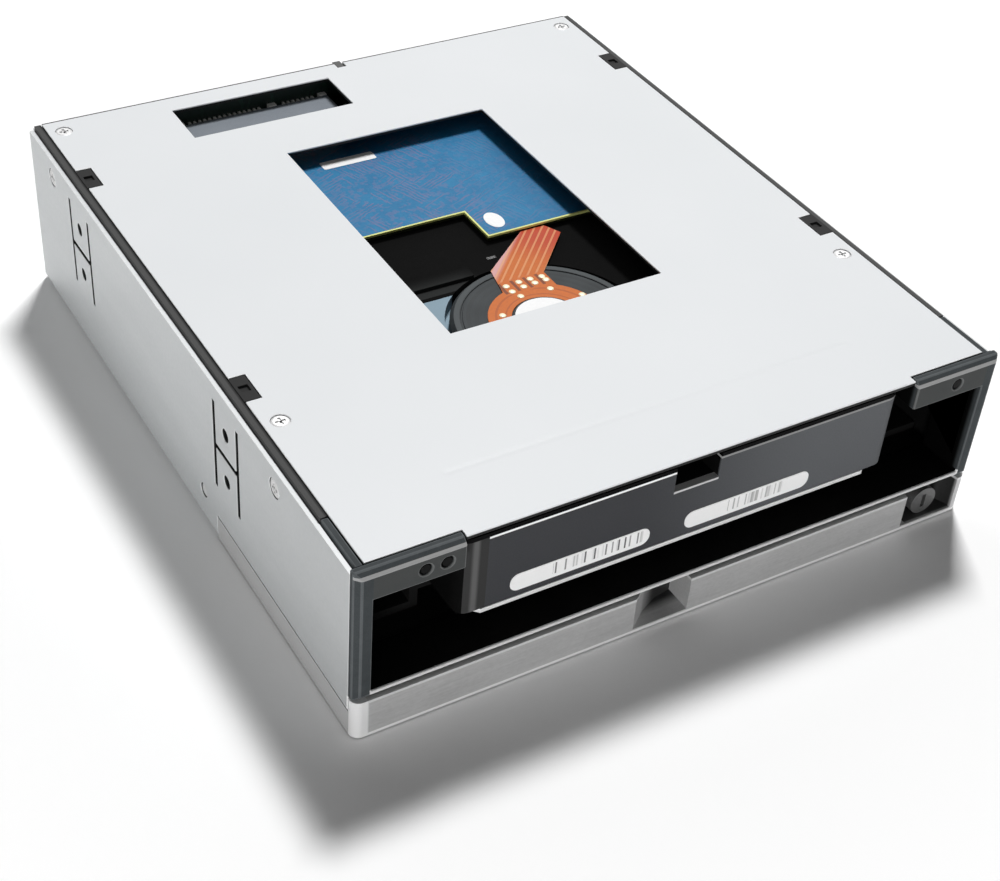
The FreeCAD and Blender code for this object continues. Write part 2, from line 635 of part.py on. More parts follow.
def build_window_plate():
    """Flat steel plate over the drive's board side, with a front tongue and two windows."""
    piece = Piece("window_plate")
    tongue_front, rear = lip_front + d.tongue_setback, rear_plane - d.seat_gap
    piece.pad("Z", plate_under, d.plate_thickness, (polygon, [
        (-plate_half, d.plate_setback), (-tongue_half, d.plate_setback), (-tongue_half, tongue_front),
        (tongue_half, tongue_front), (tongue_half, d.plate_setback), (plate_half, d.plate_setback),
        (plate_half, rear), (-plate_half, rear)]))
    window_front = d.spindle_place - d.window_lead
    windows = [(rectangle, d.window_centre - d.window_width / 2, window_front,
                d.window_width, body_depth - d.window_rear - window_front),
               (rectangle, d.socket_window_centre - d.socket_window_width / 2,
                receptacle_nose - d.socket_window_lead, d.socket_window_width, d.socket_window_length)]
    notches = [(rectangle, edge, row - d.notch_width / 2, d.notch_reach, d.notch_width)
               for row in notch_rows
               for edge in (-plate_half, plate_half - d.notch_reach)]
    tab_room = d.rear_tab_width + d.seat_gap * 2
    rear_notch = (rectangle, d.rear_tab_centre - tab_room / 2, rear_plane - d.rear_tab_reach - d.seat_gap,
                  tab_room, d.rear_tab_reach)
    piece.pocket("Z", plate_under, d.plate_thickness, *windows, *notches, rear_notch)
    piece.pocket("Z", plate_under, d.plate_thickness,
                 *[(hexagon, *spot, d.plate_screw_shank + d.screw_gap) for spot in plate_screw_places])
    piece.pocket("Z", d.body_height - d.head_seat, d.head_seat,
                 *[(head_outline, *spot, d.plate_screw_head + d.screw_gap) for spot in plate_screw_places])
    piece.pocket("Z", d.body_height - d.swage_sink, d.swage_sink,
                 (rectangle, d.swage_inset - tongue_half, d.swage_front,
                  (tongue_half - d.swage_inset) * 2, d.swage_width))


def build_outer_cover():
    """U-shaped steel cover: two side walls with spring tongues, and the underside."""
    piece = Piece("outer_cover")
    top = d.body_height - d.cover_drop
    piece.pad("Y", d.cover_front, rear_plane - d.cover_front, (polygon, [
        (-half_width, 0), (half_width, 0), (half_width, top), (wall_inside, top),
        (wall_inside, d.steel), (-wall_inside, d.steel), (-wall_inside, top), (-half_width, top)]))
    piece.fillet(d.cover_bend, lambda edge: runs_along(edge, ALONG_Y) and near(edge.CenterOfMass.z, 0))
    # the walls and the underside give way to the door's lip and flanges
    piece.pocket("Z", -d.steel, d.steel * 2, (rectangle, -half_width, 0, d.body_width, floor_front))
    flange_room = d.flange_thickness + d.slide_gap
    piece.pocket("Y", 0, d.flange_length + d.slide_gap,
                 *[(rectangle, left, -d.steel, flange_room, d.flange_height + d.slide_gap + d.steel)
                   for left in (-half_width, half_width - flange_room)])
    # each pair of spring tongues is freed by an H-shaped cut
    slot_foot = (bay_hole_levels[0] + bay_hole_levels[1]) / 2 - d.tongue_slot_length / 2
    across_walls = ("X", -half_width, d.body_width)
    piece.pocket(*across_walls, *[
        (rectangle, row + side * d.tongue_slot_half - d.tongue_slot_width / 2, slot_foot,
         d.tongue_slot_width, d.tongue_slot_length) for row in bay_hole_rows for side in SIDES])
    piece.pocket(*across_walls, *[
        (rectangle, row - d.tongue_slot_half, slot_foot + (d.tongue_slot_length - d.tongue_cut) / 2,
         d.tongue_slot_half * 2, d.tongue_cut) for row in bay_hole_rows])
    piece.pocket(*across_walls, *[(circle, row, level, d.bay_hole_radius)
                                  for row in bay_hole_rows for level in bay_hole_levels])
    # seats and clearance holes of the side screws and of the rivets
    piece.pocket(*across_walls,
                 *[(hexagon, row, side_screw_level, d.side_screw_shank + d.screw_gap, True)
                   for row in side_screw_rows],
                 (hexagon, d.ear_centre, rivet_level, d.rivet_radius + d.screw_gap, True))
    for seat in (-half_width, half_width - d.head_seat):
        piece.pocket("X", seat, d.head_seat,
                     *[(head_outline, row, side_screw_level, d.side_screw_head + d.screw_gap)
                       for row in side_screw_rows],
                     (head_outline, d.ear_centre, rivet_level, d.rivet_head + d.screw_gap))


def build_front_frame():
    """Bevelled plastic frame round the bay mouth; its head is open where the plate's tongue lies."""
    piece = Piece("front_frame")
    sill_top = d.frame_foot + d.frame_sill
    block_foot = d.body_height - d.frame_head
    mouth_half = half_width - d.frame_bar
    block_inner = web_inside

    def ring(outer, top):
        return [(-outer, d.frame_foot), (outer, d.frame_foot), (outer, top), (block_inner, top),
                (block_inner, block_foot), (mouth_half, block_foot), (mouth_half, sill_top),
                (-mouth_half, sill_top), (-mouth_half, block_foot), (-block_inner, block_foot),
                (-block_inner, top), (-outer, top)]

    piece.pad("Y", lip_front, d.bezel_proud + d.cover_front, (polygon, ring(half_width, d.body_height)))
    piece.chamfer(d.frame_bevel, lambda edge: near(edge.CenterOfMass.y, lip_front) and (
        near(abs(edge.CenterOfMass.x), half_width) or near(edge.CenterOfMass.z, d.frame_foot)
        or near(edge.CenterOfMass.z, d.body_height)))
    collar_top = plate_under - d.seat_gap
    piece.pad("Y", d.cover_front, d.collar_depth - d.cover_front, (polygon, ring(border_outside, collar_top)))
    block_width = border_outside - block_inner
    piece.pad("Y", d.collar_depth, d.block_depth - d.collar_depth,
              *[(rectangle, left, block_foot, block_width, collar_top - block_foot)
                for left in (-border_outside, block_inner)])
    # narrow borders beside the plate carry on to the guides
    border_foot = collar_top - d.border_depth
    border_width = border_outside - border_inside
    piece.pad("Y", d.cover_front, d.guide_front - d.seat_gap - d.cover_front,
              *[(rectangle, left, border_foot, border_width, d.body_height - d.border_drop - border_foot)
                for left in (-border_outside, border_inside)])
    piece.pocket("Y", lip_front, d.block_depth + d.bezel_proud,
                 *[(head_outline, across, lamp_level, d.lamp_radius + d.seat_gap) for across in lamp_places])


lamp_level = d.body_height - d.lamp_drop
lamp_places = [-web_inside - d.lamp_inner - d.lamp_pitch, -web_inside - d.lamp_inner,
               web_inside + d.lamp_single]


def build_lamps():
    """Light pipes through the frame, two left and one right, and the lamp boards behind them."""
    pipe_length = d.block_depth + d.bezel_proud - d.lens_sink
    for name, places in (("status_lenses", lamp_places[:2]), ("power_lens", lamp_places[2:])):
        pipes = []
        for index, across in enumerate(places):
            pipe = solid("Prism", f"{name}_{index}", Circumradius=d.lamp_radius, Height=pipe_length)
            pipe.Polygon = HEAD_SIDES
            pipes.append(place(pipe, (across, lip_front + d.lens_sink, lamp_level), ALONG_Y))
        group(name, pipes)
    boards = []
    width = border_inside - web_inside - d.lamp_board_inset * 2
    for left in (-border_inside + d.lamp_board_inset, web_inside + d.lamp_board_inset):
        board = solid("Box", f"lamp_board_{len(boards)}", Length=width, Width=d.lamp_board_thickness,
                      Height=d.lamp_board_height)
        boards.append(place(board, (left, d.block_depth, lamp_level - d.lamp_board_height / 2)))
    group("lamp_boards", boards)


header_level = (deck_top + plate_under) / 2
header_places = [(d.data_centre, d.data_width), (d.power_centre, d.power_width)]
boss_side = (web_outside + border_outside) / 2
boss_levels = [deck_top + d.guide_web + d.boss_room + d.boss_radius, head_foot - d.boss_room - d.boss_radius]
rear_screw_places = [(side * boss_side, level) for side in SIDES for level in boss_levels]
VENT_COUNT = 7


def build_rear_panel():
    """Rear sheet with cut-outs for the two headers, a field of vent slots and a tab in the plate."""
    piece = Piece("rear_panel")
    foot = d.steel + d.seat_gap
    top = plate_under - d.seat_gap
    piece.pad("Y", rear_plane, d.steel, (rectangle, -border_outside, foot, border_outside * 2, top - foot))
    tab_left = d.rear_tab_centre - d.rear_tab_width / 2
    piece.pad("Z", rear_tab_foot, d.body_height - d.border_drop - rear_tab_foot,
              (rectangle, tab_left, rear_plane - d.rear_tab_reach, d.rear_tab_width,
               d.rear_tab_reach + d.steel))
    margin = d.header_margin
    piece.pocket("Y", rear_plane, d.steel,
                 *[(rectangle, centre - width / 2 - margin, header_level - d.header_depth / 2 - margin,
                    width + margin * 2, d.header_depth + margin * 2) for centre, width in header_places],
                 *[(hexagon, *spot, d.rear_screw_shank + d.screw_gap) for spot in rear_screw_places])
    slot = piece.pocket("Y", rear_plane, d.steel,
                        (rectangle, d.vent_left, drive_foot, d.vent_width, d.vent_height))
    piece.repeated(slot, "X", d.vent_pitch * (VENT_COUNT - 1), VENT_COUNT)


# --------------------------------------------------------------------------------------------------
# Inside of the bay
# --------------------------------------------------------------------------------------------------

DECK_SLOTS = 6
RIBS = 4


def build_deck():
    """Sheet between the drive bay and the door pocket, with air slots near the rear."""
    piece = Piece("deck")
    piece.pad("Z", d.frame_foot, d.deck_thickness,
              (rectangle, -border_outside, d.collar_depth, border_outside * 2,
               rear_plane - d.seat_gap - d.collar_depth))
    slot = piece.pocket("Z", d.frame_foot, d.deck_thickness,
                        (rectangle, -(d.deck_slot_row + d.deck_slot_width) / 2,
                         body_depth - d.deck_slot_rear, d.deck_slot_width, d.deck_slot_length))
    piece.repeated(slot, "X", d.deck_slot_row, DECK_SLOTS)


last_rib = body_depth - d.rib_rear
rib_pitch = (last_rib - d.rib_front) / (RIBS - 1)
spring_level = (drive_top + drive_foot) / 2
spring_rows = [d.rib_front + d.rib_thickness / 2 + rib_pitch * gap for gap in (0.5, RIBS - 1.5)]


def build_guide(name, side):
    """Moulded channel beside the drive: a web with ledges, flanges, ribs, hooks and screw bosses."""
    piece = Piece(name)
    border_top = d.body_height - d.border_drop
    ledge_top = drive_foot - d.ride_gap
    ledge_foot = ledge_top - d.guide_web
    ledge_inside = web_inside - d.ledge_reach
    foot_top = deck_top + d.guide_web
    section = [(border_inside, border_top), (border_outside, border_top), (border_outside, head_foot),
               (web_outside, head_foot), (web_outside, foot_top), (border_outside, foot_top),
               (border_outside, deck_top), (web_inside, deck_top), (web_inside, ledge_foot),
               (ledge_inside, ledge_foot), (ledge_inside, ledge_top), (web_inside, ledge_top),
               (web_inside, head_foot), (ledge_inside, head_foot), (ledge_inside, plate_under),
               (border_inside, plate_under)]
    piece.pad("Y", d.guide_front, rear_plane - d.guide_front,
              (polygon, [(side * across, up) for across, up in section]))

    def between(inner, outer):
        """Left edge and width of a stretch between two distances from the middle."""
        return (inner if side > 0 else -outer), outer - inner

    # ribs close the channel between the flanges
    left, width = between(web_outside, border_outside)
    rib = piece.pad("Y", d.rib_front, d.rib_thickness,
                    (rectangle, left, foot_top, width, head_foot - foot_top))
    piece.repeated(rib, "Y", last_rib - d.rib_front, RIBS)
    # hooks stand up through the notches of the plate, with a sunk middle
    hook_inner = plate_half - d.notch_reach + d.seat_gap
    left, width = between(hook_inner, border_inside)
    hook_length = d.notch_width - d.seat_gap * 2
    piece.pad("Z", plate_under, d.plate_thickness - d.hook_drop,
              *[(rectangle, left, row - hook_length / 2, width, hook_length) for row in notch_rows])
    left, width = between(hook_inner + d.hook_wall, border_inside - d.hook_wall)
    piece.pocket("Z", d.body_height - d.hook_sink, d.hook_sink,
                 *[(rectangle, left, row - width / 2, width, width) for row in notch_rows])
    # pilot holes of the plate screws
    piece.pocket("Z", head_foot, plate_under - head_foot,
                 *[(hexagon, across, row, d.plate_screw_shank) for across, row in plate_screw_places
                   if across.number * side > 0])
    # windows for the leaf springs
    left, width = between(web_inside, web_outside)
    piece.pocket("Z", spring_level - d.spring_height / 2 - d.spring_room, d.spring_height + d.spring_room * 2,
                 *[(rectangle, left, row - d.spring_window / 2, width, d.spring_window)
                   for row in spring_rows])
    # bosses for the rear screws
    for level in boss_levels:
        piece.pad("Y", last_rib, rear_plane - last_rib, (circle, side * boss_side, level, d.boss_radius))
        piece.pocket("Y", body_depth - d.rear_screw_length, d.rear_screw_length - d.steel,
                     (hexagon, side * boss_side, level, d.rear_screw_shank))
    # pads that the side screws go into
    left, width = between(border_outside - d.pad_reach, border_outside)
    pad_foot = side_screw_level - d.pad_half
    piece.pad("Z", pad_foot, head_foot - pad_foot,
              *[(rectangle, left, row - d.pad_half, width, d.pad_half * 2) for row in side_screw_rows])
    left, width = between(half_width - d.head_seat - d.side_screw_length, border_outside)
    piece.pocket("X", left, width,
                 *[(hexagon, row, side_screw_level, d.side_screw_shank, True) for row in side_screw_rows])
    # groove that the backplane stands in
    left, width = between(ledge_inside, web_inside + d.board_grip + d.groove_gap)
    piece.pocket("Y", board_front - d.groove_gap, d.board_thickness + d.groove_gap * 2,
                 (rectangle, left, deck_top, width, plate_under - deck_top))


def build_leaf_springs():
    """Bent leaf springs behind the guide windows; their crests steady the drive's sides."""
    piece = Piece("leaf_springs")
    crest = drive_half + d.slide_gap
    bends = [(-d.spring_end, web_outside), (-d.spring_slope, web_outside), (-d.spring_crest, crest),
             (d.spring_crest, crest), (d.spring_slope, web_outside), (d.spring_end, web_outside)]
    for side in SIDES:
        for row in spring_rows:
            inner = [(side * across, row + along) for along, across in bends]
            outer = [(side * (across + d.spring_steel), row + along) for along, across in reversed(bends)]
            piece.pad("Z", spring_level - d.spring_height / 2, d.spring_height, (polygon, inner + outer))


def build_backplane():
    """Board that stands between the guides and carries every connector, with two air openings."""
    piece = Piece("backplane")
    board_half = web_inside + d.board_grip
    foot = deck_top + d.seat_gap
    piece.pad("Y", board_front, d.board_thickness,
              (rectangle, -board_half, foot, board_half * 2, plate_under - d.seat_gap - foot))
    piece.pocket("Y", board_front, d.board_thickness,
                 (rectangle, d.air_slot_left, foot + d.air_slot_foot, d.air_slot_width, d.air_slot_height),
                 (rectangle, d.air_hole_left, foot + d.air_hole_foot, d.air_hole_width, d.air_hole_height))


POWER_CONTACTS, DATA_CONTACTS = 15, 7


def tongue_spans():
    """Left edge and width of the power and data tongues, from the connector's centre."""
    reach = d.contact_first + d.contact_pitch
    power_width = d.contact_pitch * (POWER_CONTACTS + 1)
    data_width = d.contact_pitch * (DATA_CONTACTS + 1)
    return [(-reach, power_width), (reach - data_width, data_width)]


def build_receptacle():
    """The backplane's drive connector, one long socket with a slot for each tongue of the plug."""
    piece = Piece("drive_receptacle")
    left = d.plug_centre - d.receptacle_width / 2
    foot = plug_level - d.receptacle_height / 2
    tail = d.receptacle_tail
    piece.pad("Y", receptacle_nose, board_front - receptacle_nose - tail,
              (rectangle, left, foot, d.receptacle_width, d.receptacle_height))
    step = d.receptacle_step
    piece.pad("Y", board_front - tail, tail,
              (rectangle, left + step, foot + step, d.receptacle_width - step * 2,
               d.receptacle_height - d.contact_drop - step))
    room = d.slide_gap
    piece.pocket("Y", receptacle_nose, d.tongue_length + room,
                 *[(rectangle, d.plug_centre + start - room, plug_level - d.tongue_thickness / 2 - room,
                    width + room * 2, d.tongue_thickness + room * 2) for start, width in tongue_spans()])


def build_contacts():
    """Contact tails and hold-down tabs between the receptacle and the backplane."""
    piece = Piece("receptacle_contacts")
    foot = plug_level + d.receptacle_height / 2 - d.contact_drop
    tail = d.receptacle_tail
    first_data = d.contact_first - d.contact_pitch * (DATA_CONTACTS - 1)
    for start, count in ((-d.contact_first, POWER_CONTACTS), (first_data, DATA_CONTACTS)):
        first = piece.pad("Y", board_front - tail, tail,
                          (rectangle, d.plug_centre + start - d.contact_width / 2, foot,
                           d.contact_width, d.contact_rise))
        piece.repeated(first, "X", d.contact_pitch * (count - 1), count)
    end = d.receptacle_width / 2 - d.tab_width / 2
    between = first_data - d.contact_pitch * 2.5
    piece.pad("Y", board_front - tail, tail,
              *[(rectangle, d.plug_centre + centre - d.tab_width / 2, foot, d.tab_width, d.tab_rise)
                for centre in (-end, between, end)])


def build_header(name, centre, width, contacts):
    """A shrouded header on the back of the backplane, with its L-shaped contact tongue."""
    piece = Piece(name)
    start = board_front + d.board_thickness
    wall, base = d.header_wall, d.header_base
    left, foot = centre - width / 2, header_level - d.header_depth / 2
    piece.pad("Y", start, d.header_height, (rectangle, left, foot, width, d.header_depth))
    piece.pocket("Y", start + base, d.header_height - base,
                 (rectangle, left + wall, foot + wall, width - wall * 2, d.header_depth - wall * 2))
    tongue = d.contact_pitch * (contacts + 1)
    key_side, far_side = centre - tongue / 2, centre + tongue / 2
    low = header_level - d.tongue_thickness / 2
    high = low + d.tongue_thickness
    piece.pad("Y", start + base, d.header_height - base - wall, (polygon, [
        (key_side, low), (far_side, low), (far_side, high), (key_side + d.tongue_thickness, high),
        (key_side + d.tongue_thickness, high + d.tongue_thickness),
        (key_side, high + d.tongue_thickness)]))


def build_track(name, side):
    """Rail in the door pocket; its groove faces the side wall and holds the door's guide pin."""
    piece = Piece(name)
    outside = half_width - d.flange_thickness - d.arm_thickness - d.slide_gap

    def between(inner, outer):
        return (inner if side > 0 else -outer), outer - inner

    left, width = between(outside - d.track_width, outside)
    length = d.track_rear - d.track_front
    piece.pad("Y", d.track_front, length, (rectangle, left, d.steel, width, d.frame_foot - d.steel))
    left, width = between(outside - d.track_groove, outside)
    groove_half = d.pin_radius + d.pin_gap
    piece.pocket("Y", d.track_front, length - d.track_stop,
                 (rectangle, left, pin_level - groove_half, width, groove_half * 2))
    # an ear reaches over the door arm to the side wall, where it is riveted
    left, width = between(outside, wall_inside)
    piece.pad("Y", d.ear_centre - d.ear_width / 2, d.ear_width,
              (rectangle, left, ear_foot, width, d.frame_foot - ear_foot))
    left, width = between(half_width - d.head_seat - d.rivet_length, wall_inside)
    piece.pocket("X", left, width, (hexagon, d.ear_centre, rivet_level, d.rivet_radius, True))


def build_fasteners():
    """Screws and rivets of the cage, one node for each kind."""
    group("plate_screws", [
        screw(f"plate_screw_{n}", (across, row, d.body_height - d.head_seat), Vector(0, 0, -1),
              d.plate_screw_shank, d.plate_screw_length, d.plate_screw_head, d.head_height)
        for n, (across, row) in enumerate(plate_screw_places)])
    seat = half_width - d.head_seat
    group("side_screws", [
        screw(f"side_screw_{side + 1}_{n}", (side * seat, row, side_screw_level), Vector(-side, 0, 0),
              d.side_screw_shank, d.side_screw_length, d.side_screw_head, d.head_height)
        for side in SIDES for n, row in enumerate(side_screw_rows)])
    group("rear_screws", [
        screw(f"rear_screw_{n}", (across, body_depth, level), Vector(0, -1, 0), d.rear_screw_shank,
              d.rear_screw_length, d.rear_screw_head, d.rear_screw_rise)
        for n, (across, level) in enumerate(rear_screw_places)])
    group("track_rivets", [
        screw(f"track_rivet_{side + 1}", (side * seat, d.ear_centre, rivet_level), Vector(-side, 0, 0),
              d.rivet_radius, d.rivet_length, d.rivet_head, d.head_height) for side in SIDES])


# --------------------------------------------------------------------------------------------------
# The drive
# --------------------------------------------------------------------------------------------------

plug_half = d.receptacle_width / 2 + d.slide_gap + d.plug_wall + d.seat_gap
plug_front = drive_rear - d.plug_base
circuit_top = drive_top - d.circuit_sink
circuit_foot = circuit_top - d.circuit_thickness
circuit_side = drive_half - d.rail_width
circuit_rear = drive_rear - d.circuit_rear
circuit_left = d.spindle_place + d.circuit_left
circuit_right = d.spindle_place + d.circuit_right
casting_foot = drive_foot + d.lid_thickness + d.gasket_thickness
motor_face = drive_top - d.motor_drop
spindle = (0, d.spindle_place)
circuit_screw_side = circuit_side - d.circuit_screw_inset
circuit_screw_places = [(-circuit_screw_side, circuit_left + d.circuit_screw_inset),
                        (circuit_screw_side, circuit_right + d.circuit_screw_inset),
                        (-circuit_screw_side, plug_front - d.circuit_screw_inset * 2),
                        (circuit_screw_side, circuit_rear - d.circuit_screw_inset)]
lid_side = drive_half - d.lid_inset
lid_screw_places = [(side * (lid_side - d.lid_screw_inset), row) for side in SIDES
                    for row in (d.drive_front + d.lid_end + d.lid_screw_inset,
                                drive_rear - d.lid_end - d.lid_screw_inset)]


def circuit_outline():
    """Outline of the circuit board, with its stepped front edge and the bay for the plug."""
    side, rear, front = circuit_side, circuit_rear, plug_front
    left, right = d.plug_centre - plug_half, d.plug_centre + plug_half
    return [(-side, circuit_left), (d.circuit_step, circuit_left), (d.circuit_step, circuit_right),
            (side, circuit_right), (side, rear), (right, rear), (right, front), (left, front),
            (left, rear), (-side, rear)]


def square(sketch, across, up, half):
    """A square round its centre."""
    rectangle(sketch, across - half, up - half, half * 2, half * 2)


def build_casting():
    """Base casting, board side up, with the board bed, the motor well, notches and mounting holes."""
    piece = Piece("drive_casting")
    piece.pad("Z", casting_foot, drive_top - casting_foot,
              (rectangle, -drive_half, d.drive_front, d.drive_width, d.drive_length))
    piece.chamfer(d.casting_chamfer, lambda edge: near(edge.CenterOfMass.z, casting_foot)
                  and near(abs(edge.CenterOfMass.x), drive_half))
    piece.fillet(d.casting_corner, lambda edge: runs_along(edge, ALONG_Z))
    # the board and the motor share one sunk bed, with a step in front of the board
    bed_foot = circuit_foot - d.pillar_height
    bed_half = circuit_side + d.circuit_gap
    bed_front = d.spindle_place - d.bed_lead
    piece.pocket("Z", bed_foot, drive_top - bed_foot,
                 (rectangle, -bed_half, bed_front, bed_half * 2, circuit_rear + d.circuit_gap - bed_front))
    step_front = d.spindle_place + d.motor_radius
    piece.pad("Z", bed_foot, d.step_rise,
              (rectangle, -bed_half, step_front, bed_half - d.step_inner, d.step_length))
    # pillars that the board screws go into
    piece.pad("Z", bed_foot, d.pillar_height,
              *[(square, *spot, d.pillar_half) for spot in circuit_screw_places])
    piece.pocket("Z", circuit_top - d.circuit_screw_length, d.circuit_screw_length - d.circuit_thickness,
                 *[(hexagon, *spot, d.circuit_screw_shank) for spot in circuit_screw_places])
    # motor well
    piece.pocket("Z", drive_top - d.well_depth, d.well_depth, (circle, *spindle, d.motor_radius + d.well_gap))
    # grip notch in the front edge, and the bay for the connector in the rear edge
    piece.pocket("Z", drive_top - d.grip_depth, d.grip_depth,
                 (rectangle, d.grip_left, d.drive_front, d.grip_width, d.grip_reach))
    plug_bay_foot = plug_level - d.receptacle_height / 2 - d.slide_gap * 2
    piece.pocket("Z", plug_bay_foot, drive_top - plug_bay_foot,
                 (rectangle, d.plug_centre - plug_half, plug_front, plug_half * 2, d.plug_base))
    # side and bottom mounting holes at their standard places
    depth = d.drive_hole_depth
    side_rows = [drive_rear - d.drive_hole_near, drive_rear - d.drive_hole_far]
    for start in (-drive_half, drive_half - depth):
        piece.pocket("X", start, depth, *[(circle, row, drive_top - d.drive_hole_level, d.drive_hole_radius)
                                          for row in side_rows])
    base_rows = [drive_rear - d.base_hole_near - step * d.base_hole_spacing for step in (0, 1)]
    piece.pocket("Z", drive_top - depth, depth, *[(circle, side * d.base_hole_half, row, d.drive_hole_radius)
                                                  for side in SIDES for row in base_rows])


def lid_outline(inset):
    """Outline of the lid, with cut corners, drawn in by an inset."""
    side = lid_side - inset
    front, rear = d.drive_front + d.lid_end + inset, drive_rear - d.lid_end - inset
    cut = d.lid_cut
    return [(-side, front + cut), (cut - side, front), (side - cut, front), (side, front + cut),
            (side, rear - cut), (side - cut, rear), (cut - side, rear), (-side, rear - cut)]


def build_drive_lid():
    """Flat lid on the far side of the casting, and the gasket between them."""
    lid = Piece("drive_lid")
    lid.pad("Z", drive_foot, d.lid_thickness, (polygon, lid_outline(0)))
    # the lid is pressed in over the disks, which leaves a round dish
    lid.pocket("Z", drive_foot, d.lid_dish_sink, (circle, *spindle, lid_side - d.lid_dish_inset))
    lid.pocket("Z", drive_foot, d.lid_thickness,
               *[(hexagon, *spot, d.lid_screw_shank + d.screw_gap) for spot in lid_screw_places])
    gasket = Piece("lid_gasket")
    gasket.pad("Z", drive_foot + d.lid_thickness, d.gasket_thickness, (polygon, lid_outline(d.gasket_inset)))


def build_drive_circuit():
    """The drive's circuit board and the plug at its rear edge."""
    board = Piece("drive_board")
    board.pad("Z", circuit_foot, d.circuit_thickness, (polygon, circuit_outline()))
    board.pocket("Z", circuit_foot, d.circuit_thickness,
                 *[(hexagon, *spot, d.circuit_screw_shank + d.screw_gap) for spot in circuit_screw_places])
    plug = Piece("drive_plug")
    foot = plug_level - d.receptacle_height / 2
    body_front = plug_front + d.slide_gap
    body_end = receptacle_nose - d.slide_gap
    body_half = plug_half - d.seat_gap
    plug.pad("Y", body_front, body_end - body_front,
             (rectangle, d.plug_centre - body_half, foot, body_half * 2, d.receptacle_height))
    plug.pad("Y", body_end, d.tongue_length,
             *[(rectangle, d.plug_centre + start, plug_level - d.tongue_thickness / 2,
                width, d.tongue_thickness) for start, width in tongue_spans()])
    plug.pad("Y", body_end, drive_rear - body_end,
             *[(rectangle, left, foot, d.plug_wall, d.receptacle_height)
               for left in (d.plug_centre - body_half, d.plug_centre + body_half - d.plug_wall)])


def build_motor():
    """Turned motor cap in its well, and the flexible circuit from it to the board."""
    cap = Piece("motor_cap")
    foot, hub_top = drive_top - d.well_depth, motor_face + d.hub_rise
    cap.turned([(0, foot), (d.motor_radius, foot), (d.motor_radius, motor_face - d.motor_bevel),
                (d.motor_radius - d.motor_bevel, motor_face), (d.hub_radius, motor_face),
                (d.hub_radius, hub_top), (0, hub_top)])
    cap.body.setExpression("Placement.Base.y", (d.spindle_place - origin_depth).text)
    flex = Piece("motor_flex")
    ring_inside = d.hub_radius + d.flex_gap
    flex.pad("Z", motor_face, d.flex_thickness,
             (circle, *spindle, ring_inside + d.flex_ring), (circle, *spindle, ring_inside))
    root, neck, rise = [d.spindle_place + along for along in (d.flex_root, d.flex_neck, d.flex_rise)]
    end = circuit_right - d.flex_gap
    shoulder = d.flex_corner - d.flex_end / 2
    # the strip leaves the ring towards the rear and slants to the right, to the board's edge
    flex.pad("Z", motor_face, d.flex_thickness, (polygon, [
        (-d.flex_left, root), (d.flex_right, root), (d.flex_right, neck), (d.flex_corner, end - d.flex_end),
        (shoulder, end), (shoulder - d.flex_end * 1.5, end), (-d.flex_left / 2, rise)]))


def build_drive_fasteners():
    """Screws of the circuit board and of the lid."""
    group("board_screws", [
        screw(f"board_screw_{n}", (*spot, circuit_top), Vector(0, 0, -1), d.circuit_screw_shank,
              d.circuit_screw_length, d.circuit_screw_head, d.head_height)
        for n, spot in enumerate(circuit_screw_places)])
    group("lid_screws", [
        screw(f"lid_screw_{n}", (*spot, drive_foot), Vector(0, 0, 1), d.lid_screw_shank,
              d.lid_thickness + d.gasket_thickness, d.lid_screw_head, d.head_height)
        for n, spot in enumerate(lid_screw_places)])


# --------------------------------------------------------------------------------------------------
# The pocket door
# --------------------------------------------------------------------------------------------------

lock_centre = half_width - d.lock_inset


RAMP_STEPS = [(0.35, 0.55), (0.7, 0.9)]


def finger_outline(wall, start):
    """Plan of the finger notch: a ramp that curves in from the left to an upright right wall."""
    left, right = d.finger_right - d.finger_reach - wall, d.finger_right + wall
    reach, depth = right - left, d.finger_depth + wall
    ramp = [(left + reach * along, lip_front + depth * inward) for along, inward in RAMP_STEPS]
    return [(left, lip_front + start), *ramp, (right, lip_front + depth), (right, lip_front + start)]


